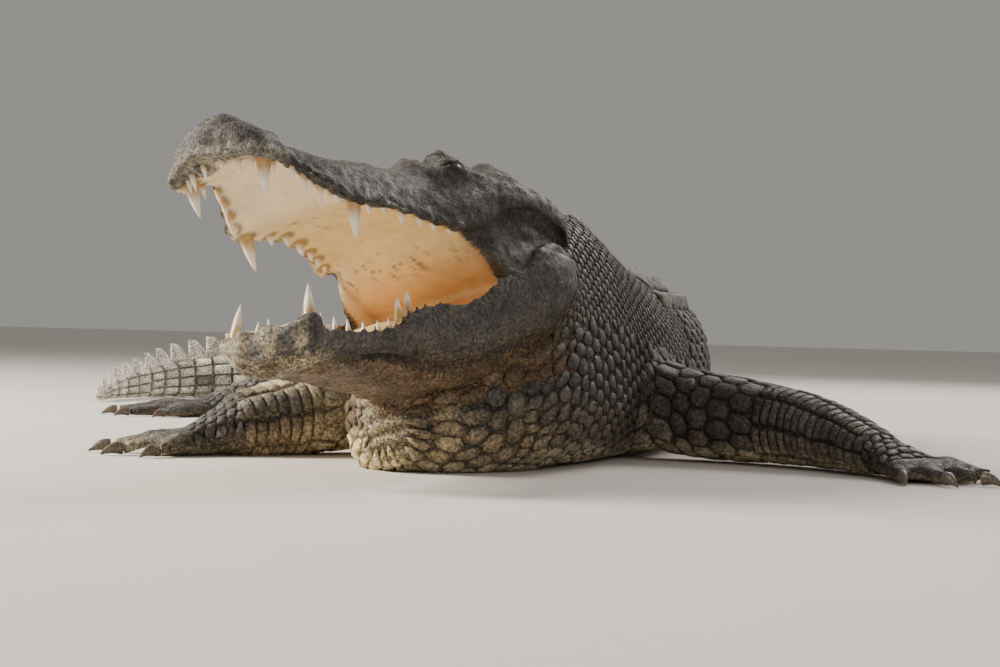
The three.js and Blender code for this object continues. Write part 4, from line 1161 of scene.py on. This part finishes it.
def body_fields(names):
    tube = body_tube()
    areas = {
        "neck": [band(-20, 345, side * 0.10, side * 0.24, 0.009, 0.0105, 0.0014, gap=0.08, rounding=0.22)
                 for side in SIDES]
        + [band(10, 150, -0.10, 0.10, 0.010, 0.0110, 0.0018, gap=0.08, rounding=0.22)],
        "throat": [band(-60, 345, 0.24, 0.76, 0.0165, 0.0165, 0.0026, gap=0.12, rounding=0.4, pit=1.0),
                   band(-141, -60, 0.1, 0.9, 0.0165, 0.0175, 0.0026, gap=0.1, rounding=0.3, pit=0.5)],
        "nuchal": [band(150, 205, -0.085, 0.085, 0.045, 0.034, 0.008, 0.011, hexed=0, rounding=0.6, jitter=0.06),
                   band(207, 257, -0.045, 0.045, 0.042, 0.036, 0.008, 0.011, hexed=0, rounding=0.6, jitter=0.06),
                   band(28, 52, -0.11, 0.11, 0.024, 0.026, 0.006, 0.008, gap=0.3, hexed=0, rounding=0.8, jitter=0.06)],
        "back": [band(290, 1130, -0.165, 0.165, 0.046, 0.034, 0.0042, 0.007, 0.07, 0, 0.25, 0.05)],
        "flank": [band(345, 1130, side * 0.168, side * 0.31, 0.021, 0.021, 0.003, 0.001, 0.14, 0.16, 0.6, 0.25)
                  for side in SIDES],
        "belly": [band(345, 1130, 0.31, 0.69, 0.027, 0.022, 0.0018, 0, 0.06, 0, 0.15, 0.05)],
        "tail": [band(start, end, -0.5, 0.5, 0.0373, wide, 0.0032, keel, 0.07, 0, 0.15, 0.05)
                 for start, end, wide, keel in ((1130, 1503, 0.026, 0.003), (1503, 1877, 0.022, 0.002),
                                                (1877, 2176, 0.018, 0.001), (2176, 2410, 0.012, 0.0))],
    }
    return [(tube, BODY_UNWRAP, area) for name in names for area in areas[name]]


def limb_fields(where, limb, row):
    tube, long = limb_tube(limb)
    split = 0.72 if where == "front_right" else 0.5
    upper = band(0.02 * long, split * long, -0.5, 0.5, 0.024, 0.024, 0.003, 0, 0.07, 0.14, 0.15, 0.28)
    lower = band(split * long, long - 1, -0.5, 0.5, 0.0115, 0.03, 0.003, 0, 0.09, 0, 0.15, 0.12)
    if where.startswith("hind"):
        lower = band(split * long, long - 1, -0.5, 0.5, 0.017, 0.019, 0.003, 0.002, 0.1, 0.16, 0.4, 0.2)
    sole, end = palm_surface(limb)
    palm = band(PALM_START + 1, end - 8, -0.26, 0.26, 0.010, 0.014, 0.0018, 0, 0.1, 0.12, 0.3, 0.12)
    laid = [(tube, 0.03, 0.0009, upper), (tube, 0.03, 0.0009, lower),
            (evened(sole, PALM_START, end, 40, 61), 0.95, 0.0006, palm)]
    for k, line in enumerate(foot_lines(limb)):
        surface, mm = digit_surface(*line), line[2] / MM
        # The lambda reads surface and mm when the scales are laid, so the bands of all digits lie on the last digit.
        digit = evened(lambda d, a: surface((d - DIGIT_START) / (mm - DIGIT_START), a), 0, mm, 40, 61)
        top = band(4, mm - 2, -0.24, 0.24, 0.0082, 0.022, 0.0016, 0, 0.1, 0, 0.1, 0.05)
        laid.append((digit, 0.5 + 0.09 * k, 0.0006, top))
    return [(tube, (start, step, 0.03 + LIMB_ROW * row, 0.04), area) for tube, start, step, area in laid]


def crest_roots(tree):
    """Where each fin stands: place, way back along the tail, outward lean, height, station and share round."""
    pitch = (CREST_END - TRUNK_END) / WHORLS
    for w in range(WHORLS):
        s = TRUNK_END + (w + 0.6) * pitch
        double = w < CREST_JOIN
        tall = FIN_FIRST + FIN_GAIN * w if double else FIN_TALLEST - FIN_LOSS * (w - CREST_JOIN)
        share = 0.62 - 0.5 * w / CREST_JOIN if double else 0.0
        centre, left = spine_place(s)
        for side in SIDES if double else SIDES[:1]:
            over = Vector((*((centre + left * side * share * HALF(s)) * MM), (TOP(s) + 5) * MM))
            root = np.array(tree.find_nearest(over)[0])
            yield root, left, left * side * (0.22 if double else 0.0), tall, s, side * share * 0.25


def make_crest(tree, settings):
    """Upright fins along the tail: two rows that draw together and join into one."""
    bm = bmesh.new()
    pitch = (CREST_END - TRUNK_END) / WHORLS
    roots = list(crest_roots(tree))
    for root, left, lean, full, _, _ in roots:
        tall = full * settings.crest
        back = np.array([-left[1], left[0]])

        def surface(u, a):
            long = 0.6 * pitch * (1 - 0.66 * u**1.5) * np.cos(a)
            thick = (3.8 * (1 - 0.75 * u) + 0.5) * np.sin(a)
            plan = root[:2] + ((long + 0.42 * pitch * u * u)[:, None] * back
                               + thick[:, None] * left + (tall * u)[:, None] * lean) * MM
            return raised(plan, root[2] + (tall * 0.98 * u - 5 * (1 - u)) * MM)

        add_tube(bm, 9, 14, surface)
    crest = new_object("tail_crest", bm)
    points, normals = mesh_arrays(crest.data)
    paint(crest, hide_colour(points, normals) * (1.05 + 0.25 * rough_noise(points, 60)[:, None]))
    fin = np.arange(len(points)) // (len(points) // len(roots))
    away = points - np.array([root[0] for root in roots])[fin]
    spread = np.stack([np.linalg.norm(away[:, :2], axis=1) / (pitch * MM), away[:, 2] / 0.05], -1)
    u0, du, v0, dv = BODY_UNWRAP
    base = np.array([(u0 + du * s, v0 + dv * v) for *_, s, v in roots])[fin]
    store_patches(crest.data, base + PATCH * 0.5 * spread)
    return crest


# ---------------------------------------------------------------- teeth, eyes, claws and tongue
def tooth_material():
    m = Shader("tooth")
    root = m.ramp(m.attribute("along"), 0.34, 0.72, 1.0, 0.0)
    stain = m.ramp(m.noise(160, 5), 0.35, 0.7)
    colour = m.blend(root, (0.90, 0.85, 0.74), (0.50, 0.29, 0.10))
    colour = m.blend(m.times(stain, 0.35), colour, (0.66, 0.52, 0.30))
    m.set(Specular_IOR_Level=0.55, Subsurface_Weight=0.05, Subsurface_Scale=0.002)
    return m.finish(colour, m.ramp(m.noise(200), 0.3, 0.7, 0.24, 0.42), m.bump(m.noise(900, 3), 0.0003, 0.5))


def add_tooth(bm, place, side, way, layer):
    """One crown: a cone drawn to a point, fuller above the gum, ridged lightly and curved back."""
    x, y, z, long, wide = place
    lean = LOWER_LEAN if way > 0 else 0.0

    def surface(u, a):
        size = 0.5 * wide * np.maximum(0.04, (1 - u**1.6) ** 0.8) * (1 + 0.035 * np.cos(8 * a))
        bend = 0.2 * long * u * u
        px = x + size * 1.12 * np.cos(a) - lean * long * u - bend
        py = side * (y - 0.08 * long * u - 0.3 * bend) + size * np.sin(a)
        place = np.stack([px, py, z + way * (u * (long + TOOTH_ROOT) - TOOTH_ROOT)], -1)
        return to_world(gaped(place) if way > 0 else place)

    add_tube(bm, 12, 16, surface, layer)


def make_teeth(name, rows, way):
    bm = bmesh.new()
    layer = bm.verts.layers.float.new("along")
    for side in SIDES:
        for place in rows:
            add_tooth(bm, place, side, way, layer)
    bmesh.ops.recalc_face_normals(bm, faces=bm.faces[:])
    return new_object(name, bm)


def eye_material():
    m = Shader("eye")
    parts = m.node("ShaderNodeSeparateXYZ")
    m.link(m.attribute("gaze", "Vector"), parts.inputs[0])
    across, upward, outward = parts.outputs
    wide, high = (m.maths("POWER", m.maths("DIVIDE", way, reach), 2.0)
                  for way, reach in ((across, 0.10), (upward, 0.52)))
    slit = m.maths("ADD", wide, high)
    pupil = m.ramp(slit, 0.8, 1.1, 1.0, 0.0)
    ring = m.blend(m.ramp(m.noise(900, 6, 0.7), 0.35, 0.65), (0.09, 0.07, 0.03), (0.22, 0.17, 0.07))
    colour = m.blend(m.ramp(outward, 0.62, 0.7), (0.06, 0.045, 0.03), ring)
    colour = m.blend(pupil, colour, (0.004, 0.004, 0.004))
    m.set(Roughness=0.35, Coat_Weight=0.0, Specular_IOR_Level=0.15)
    return m.finish(colour)


def make_eye(name, side):
    bm = bmesh.new()
    bmesh.ops.create_uvsphere(bm, u_segments=48, v_segments=32, radius=EYEBALL * EYE_RADIUS)
    layer = bm.verts.layers.float_vector.new("gaze")
    centre, forward, upward, look = eye_axes(side)
    for vert in bm.verts:
        d = np.array(vert.co) / EYE_RADIUS
        vert[layer] = [float(d @ axis) for axis in (forward, upward, look)]
        vert.co = to_world(centre + np.array(vert.co))
    return new_object(name, bm)


def claw_material():
    m = Shader("claw")
    colour = m.blend(m.ramp(m.noise(500, 5, 0.6), 0.35, 0.7), (0.055, 0.042, 0.032), (0.20, 0.155, 0.11))
    return m.finish(colour, m.ramp(m.noise(300), 0.3, 0.7, 0.32, 0.55), m.bump(m.noise(650, 4), 0.0005, 0.6))


def make_claws(where, limb):
    """Curved claws on the inner three digits, their points resting on the ground."""
    bm = bmesh.new()
    rows = [(0, 1.02, 7.2), (7, 0.9, 7.6), (14, 0.62, 5.8), (CLAW_LENGTH - 1, 0.2, 1.9)]
    size, level = track(rows, 1), track(rows, 2)
    for at, way, long, _ in list(foot_lines(limb))[:CLAWED]:
        def surface(u, a):
            d = u * rows[-1][0]
            wide = CLAW_SLIM * size(d) * CLAW_WIDTH * MM * np.cos(a)
            plan = at + way * (long + (d + 0.4) * MM)[:, None] + leftward(way) * wide[:, None]
            return raised(plan, np.maximum(0.2, level(d) + size(d) * CLAW_WIDTH * 0.95 * np.sin(a)) * MM)

        add_tube(bm, 18, 16, surface)
    return new_object(f"claws_{where}", bm)


def lining_material():
    m = Shader("lining")
    colour = m.blend(m.ramp(m.noise(45, 5), 0.35, 0.7), (0.74, 0.52, 0.24), (0.80, 0.62, 0.34))
    m.set(Specular_IOR_Level=0.5, Subsurface_Weight=0.15, Subsurface_Scale=0.01)
    return m.finish(colour, m.ramp(m.noise(120), 0.3, 0.7, 0.26, 0.45), m.bump(m.noise(260, 4), 0.001, 0.6))


def make_tongue():
    bm = bmesh.new()

    def surface(u, a):
        x = TONGUE_TIP + (TONGUE_ROOT - TONGUE_TIP) * u
        swell = np.sqrt(np.maximum(0.02, 1 - ((x - 0.46) / 0.265) ** 2))
        half = np.minimum(TONGUE_HALF, 0.72 * JAW_W(x)) * swell
        groove = 0.005 * bell(np.cos(a), 0.12) * (np.sin(a) > 0)
        z = JAW_RIM(x) - JAW_FLOOR(x) - 0.006 + TONGUE_RISE * swell * np.sin(a) - groove
        return to_world(gaped(np.stack([x, half * np.cos(a), z], -1)))

    add_tube(bm, 60, 40, surface)
    return new_object("tongue_flesh", bm)


# ---------------------------------------------------------------- stage
CAMERA_AT, CAMERA_ROLL = (-0.07, -2.45), math.radians(1.5)
LAMPS_AIM = Vector((-0.2, -0.7, 0.15))
FILL_POWER, RIM_POWER = 26, 110


def make_stage(settings):
    """A plain pale floor, three soft lamps and a level camera close to the ground."""
    bm = bmesh.new()
    bmesh.ops.create_grid(bm, x_segments=1, y_segments=1, size=40)
    floor = new_object("floor", bm, False)
    m = Shader("floor")
    colour = m.blend(m.noise(3, 3), (0.70, 0.67, 0.62), (0.74, 0.71, 0.66))
    m.set(Specular_IOR_Level=0.2)
    floor.data.materials.append(m.finish(colour, m.ramp(m.noise(20), 0.3, 0.7, 0.75, 0.9)))
    world = bpy.data.worlds.new("studio")
    world.use_nodes = True
    sky = world.node_tree.nodes["Background"]
    sky.inputs["Color"].default_value, sky.inputs["Strength"].default_value = (0.83, 0.80, 0.76, 1), settings.sky
    bpy.context.scene.world = world
    for name, place, size, power, tone in (
        ("key", (-3.5, -0.4, 2.0), 1.1, settings.key_power, (1.0, 0.93, 0.82)),
        ("fill", (1.6, -3.6, 1.6), 2.6, FILL_POWER, (1.0, 0.95, 0.9)),
        ("rim", (1.8, 2.6, 2.6), 1.6, RIM_POWER, (1.0, 0.96, 0.9)),
    ):
        lamp = bpy.data.lights.new(name, "AREA")
        lamp.size, lamp.energy, lamp.color = size, power, tone
        obj = bpy.data.objects.new(name, lamp)
        obj.location = place
        obj.rotation_euler = (LAMPS_AIM - Vector(place)).to_track_quat("-Z", "Y").to_euler()
        bpy.context.scene.collection.objects.link(obj)
    camera = bpy.data.cameras.new("camera")
    camera.lens, camera.sensor_width = settings.lens, 36
    obj = bpy.data.objects.new("camera", camera)
    c, s = math.cos(CAMERA_ROLL), math.sin(CAMERA_ROLL)
    turned = Matrix(((c, -s, 0), (0, 0, -1), (s, c, 0))).to_4x4()
    obj.matrix_world = Matrix.Translation((*CAMERA_AT, settings.camera_height)) @ turned
    bpy.context.scene.collection.objects.link(obj)
    bpy.context.scene.camera = obj


def dress(obj, material, slot, *nodes):
    """Gives a piece its material and hides the nodes it stands for; slot is not used."""
    obj.data.materials.append(material)
    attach(obj, "root")
    if nodes:
        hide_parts(*nodes)


# ---------------------------------------------------------------- the add-on
class HideSettings(bpy.types.PropertyGroup):
    """How finely the hide is divided, how it is evened out and how deep it lies under the scales."""

    fine_cell: bpy.props.FloatProperty(
        name="Fine cell", description="Width of the hide's cells over the head and throat",
        default=0.0031, min=0.001, max=0.02, precision=4, unit="LENGTH")
    coarse_cell: bpy.props.FloatProperty(
        name="Coarse cell", description="Width of the hide's cells over the body, limbs and tail",
        default=0.0073, min=0.002, max=0.04, precision=4, unit="LENGTH")
    coat_depth: bpy.props.FloatProperty(
        name="Coat depth", description="How far the hide lies inside the body's outer level, to leave room for scales",
        default=0.0045, min=0.0, max=0.02, precision=4, unit="LENGTH")
    rounds: bpy.props.IntProperty(
        name="Evening", description="How many more times the head's hide is evened out than the body's",
        default=3, min=0, max=20)
    relief: bpy.props.FloatProperty(
        name="Relief", description="Depth of the head's lumps, creases and pits against the animal's own",
        default=1.0, min=0.0, max=2.0, subtype="FACTOR")


class ScaleSettings(bpy.types.PropertyGroup):
    """How high the scales, their keels and the tail's fins stand."""

    height: bpy.props.FloatProperty(
        name="Scale height", description="Height of the scales against the animal's own",
        default=1.0, min=0.1, max=2.0, subtype="FACTOR")
    keel: bpy.props.FloatProperty(
        name="Keel height", description="Height of the keels on the back and tail against the animal's own",
        default=1.0, min=0.0, max=2.0, subtype="FACTOR")
    crest: bpy.props.FloatProperty(
        name="Crest height", description="Height of the tail's fins against the animal's own",
        default=1.0, min=0.2, max=1.2, subtype="FACTOR")


class StageSettings(bpy.types.PropertyGroup):
    """The camera and the light."""

    lens: bpy.props.FloatProperty(
        name="Lens", description="Focal length of the camera", default=72.0, min=20.0, max=200.0, unit="CAMERA")
    camera_height: bpy.props.FloatProperty(
        name="Camera height", description="Height of the camera above the floor",
        default=0.125, min=0.05, max=2.0, unit="LENGTH")
    key_power: bpy.props.FloatProperty(
        name="Key light", description="Power of the warm lamp on the left", default=340.0, min=0.0, max=2000.0,
        unit="POWER")
    sky: bpy.props.FloatProperty(
        name="Sky", description="Strength of the light from all round", default=0.38, min=0.0, max=2.0)


def plated():
    """The material of all scales, made the first time it is asked for."""
    return bpy.data.materials.get("plated_hide") or hide_material("plated_hide", 300, 560, 0.0005, 0.0004)


def hide_tree():
    """The hide's surface, for laying other pieces on it."""
    if "skin" not in bpy.data.objects:
        raise RuntimeError("The skin has to be made before the scales and the crest")
    mesh = bpy.data.objects["skin"].data
    return BVHTree.FromPolygons([v.co for v in mesh.vertices], [p.vertices for p in mesh.polygons])


class CROCODILE_OT_stage(bpy.types.Operator):
    """Make the floor, the lamps and the camera"""

    bl_idname = "crocodile.stage"
    bl_label = "Stage"
    bl_options = {"REGISTER", "UNDO"}

    def execute(self, context):
        make_stage(context.scene.crocodile_stage)
        return {"FINISHED"}


class CROCODILE_OT_skin(bpy.types.Operator):
    """Make the hide with the lining of the mouth, in one piece from the snout to the tail"""

    bl_idname = "crocodile.skin"
    bl_label = "Skin"
    bl_options = {"REGISTER", "UNDO"}

    def execute(self, context):
        skin = make_skin(context.scene.crocodile_hide)
        dress(skin, hide_material("weathered_hide", 210, 430, 0.0011, 0.0006), "hide", *FLESH)
        return {"FINISHED"}


class CROCODILE_OT_body_scales(bpy.types.Operator):
    """Lay the scales of the neck, throat, back, flanks, belly and tail"""

    bl_idname = "crocodile.body_scales"
    bl_label = "Body scales"
    bl_options = {"REGISTER", "UNDO"}

    def execute(self, context):
        tree, settings = hide_tree(), context.scene.crocodile_scales
        for name, areas, cuts in (("scales_neck", ["neck", "throat"], 4),
                                  ("scales_back", ["nuchal", "back", "flank"], 6),
                                  ("scales_belly_tail", ["belly", "tail"], 4)):
            dress(make_scales(name, body_fields(areas), tree, cuts, settings), plated(), "hide")
        return {"FINISHED"}


class CROCODILE_OT_limb_scales(bpy.types.Operator):
    """Lay the scales of the four limbs, with their hands and feet"""

    bl_idname = "crocodile.limb_scales"
    bl_label = "Limb scales"
    bl_options = {"REGISTER", "UNDO"}

    def execute(self, context):
        tree, settings = hide_tree(), context.scene.crocodile_scales
        for row, (where, limb) in enumerate(LIMBS.items()):
            fields = limb_fields(where, limb, row)
            dress(make_scales(f"scales_{where}", fields, tree, 6, settings), plated(), "hide")
        return {"FINISHED"}


class CROCODILE_OT_tail_crest(bpy.types.Operator):
    """Stand the fins along the tail"""

    bl_idname = "crocodile.tail_crest"
    bl_label = "Tail crest"
    bl_options = {"REGISTER", "UNDO"}

    def execute(self, context):
        dress(make_crest(hide_tree(), context.scene.crocodile_scales), plated(), "hide")
        return {"FINISHED"}


class CROCODILE_OT_teeth(bpy.types.Operator):
    """Set the teeth of both jaws"""

    bl_idname = "crocodile.teeth"
    bl_label = "Teeth"
    bl_options = {"REGISTER", "UNDO"}

    def execute(self, context):
        tooth = tooth_material()
        dress(make_teeth("upper_teeth", UPPER_TEETH, -1), tooth, "tooth")
        dress(make_teeth("lower_teeth", LOWER_TEETH, 1), tooth, "tooth")
        return {"FINISHED"}


class CROCODILE_OT_eyes(bpy.types.Operator):
    """Set both eyeballs behind their lids"""

    bl_idname = "crocodile.eyes"
    bl_label = "Eyes"
    bl_options = {"REGISTER", "UNDO"}

    def execute(self, context):
        eye = eye_material()
        for name, side in (("eye_left", 1), ("eye_right", -1)):
            dress(make_eye(f"{name}_ball", side), eye, "eye", name)
        return {"FINISHED"}


class CROCODILE_OT_tongue(bpy.types.Operator):
    """Lay the tongue on the floor of the mouth"""

    bl_idname = "crocodile.tongue"
    bl_label = "Tongue"
    bl_options = {"REGISTER", "UNDO"}

    def execute(self, context):
        dress(make_tongue(), lining_material(), "mouth", "tongue")
        return {"FINISHED"}


class CROCODILE_OT_claws(bpy.types.Operator):
    """Set the claws on the inner digits of every hand and foot"""

    bl_idname = "crocodile.claws"
    bl_label = "Claws"
    bl_options = {"REGISTER", "UNDO"}

    def execute(self, context):
        claw = claw_material()
        for where, limb in LIMBS.items():
            nodes = [f"claw_{k + 1}_{where}" for k in range(CLAWED)]
            dress(make_claws(where, limb), claw, "claw", *nodes)
        return {"FINISHED"}


OPERATORS = (
    CROCODILE_OT_stage, CROCODILE_OT_skin, CROCODILE_OT_body_scales, CROCODILE_OT_limb_scales,
    CROCODILE_OT_tail_crest, CROCODILE_OT_teeth, CROCODILE_OT_eyes, CROCODILE_OT_tongue, CROCODILE_OT_claws,
)
SETTINGS = {"crocodile_hide": HideSettings, "crocodile_scales": ScaleSettings, "crocodile_stage": StageSettings}


class CROCODILE_PT_panel(bpy.types.Panel):
    """The crocodile's measures and the buttons that make its pieces"""

    bl_label = "Resting crocodile"
    bl_idname = "CROCODILE_PT_panel"
    bl_space_type = "VIEW_3D"
    bl_region_type = "UI"
    bl_category = "Crocodile"

    def draw(self, context):
        for name, group in SETTINGS.items():
            box = self.layout.box()
            for key in group.__annotations__:
                box.prop(getattr(context.scene, name), key)
        for operator in OPERATORS:
            self.layout.operator(operator.bl_idname)


CLASSES = (*SETTINGS.values(), *OPERATORS, CROCODILE_PT_panel)


def register():
    for made in CLASSES:
        bpy.utils.register_class(made)
    for name, group in SETTINGS.items():
        setattr(bpy.types.Scene, name, bpy.props.PointerProperty(type=group))


def unregister():
    for name in SETTINGS:
        delattr(bpy.types.Scene, name)
    for made in reversed(CLASSES):
        bpy.utils.unregister_class(made)


def main():
    """Registers the add-on and makes every piece in order."""
    register()
    bpy.ops.crocodile.stage()
    bpy.ops.crocodile.skin()
    bpy.ops.crocodile.body_scales()
    bpy.ops.crocodile.limb_scales()
    bpy.ops.crocodile.tail_crest()
    bpy.ops.crocodile.teeth()
    bpy.ops.crocodile.eyes()
    bpy.ops.crocodile.tongue()
    bpy.ops.crocodile.claws()


if __name__ == "__main__":
    main()
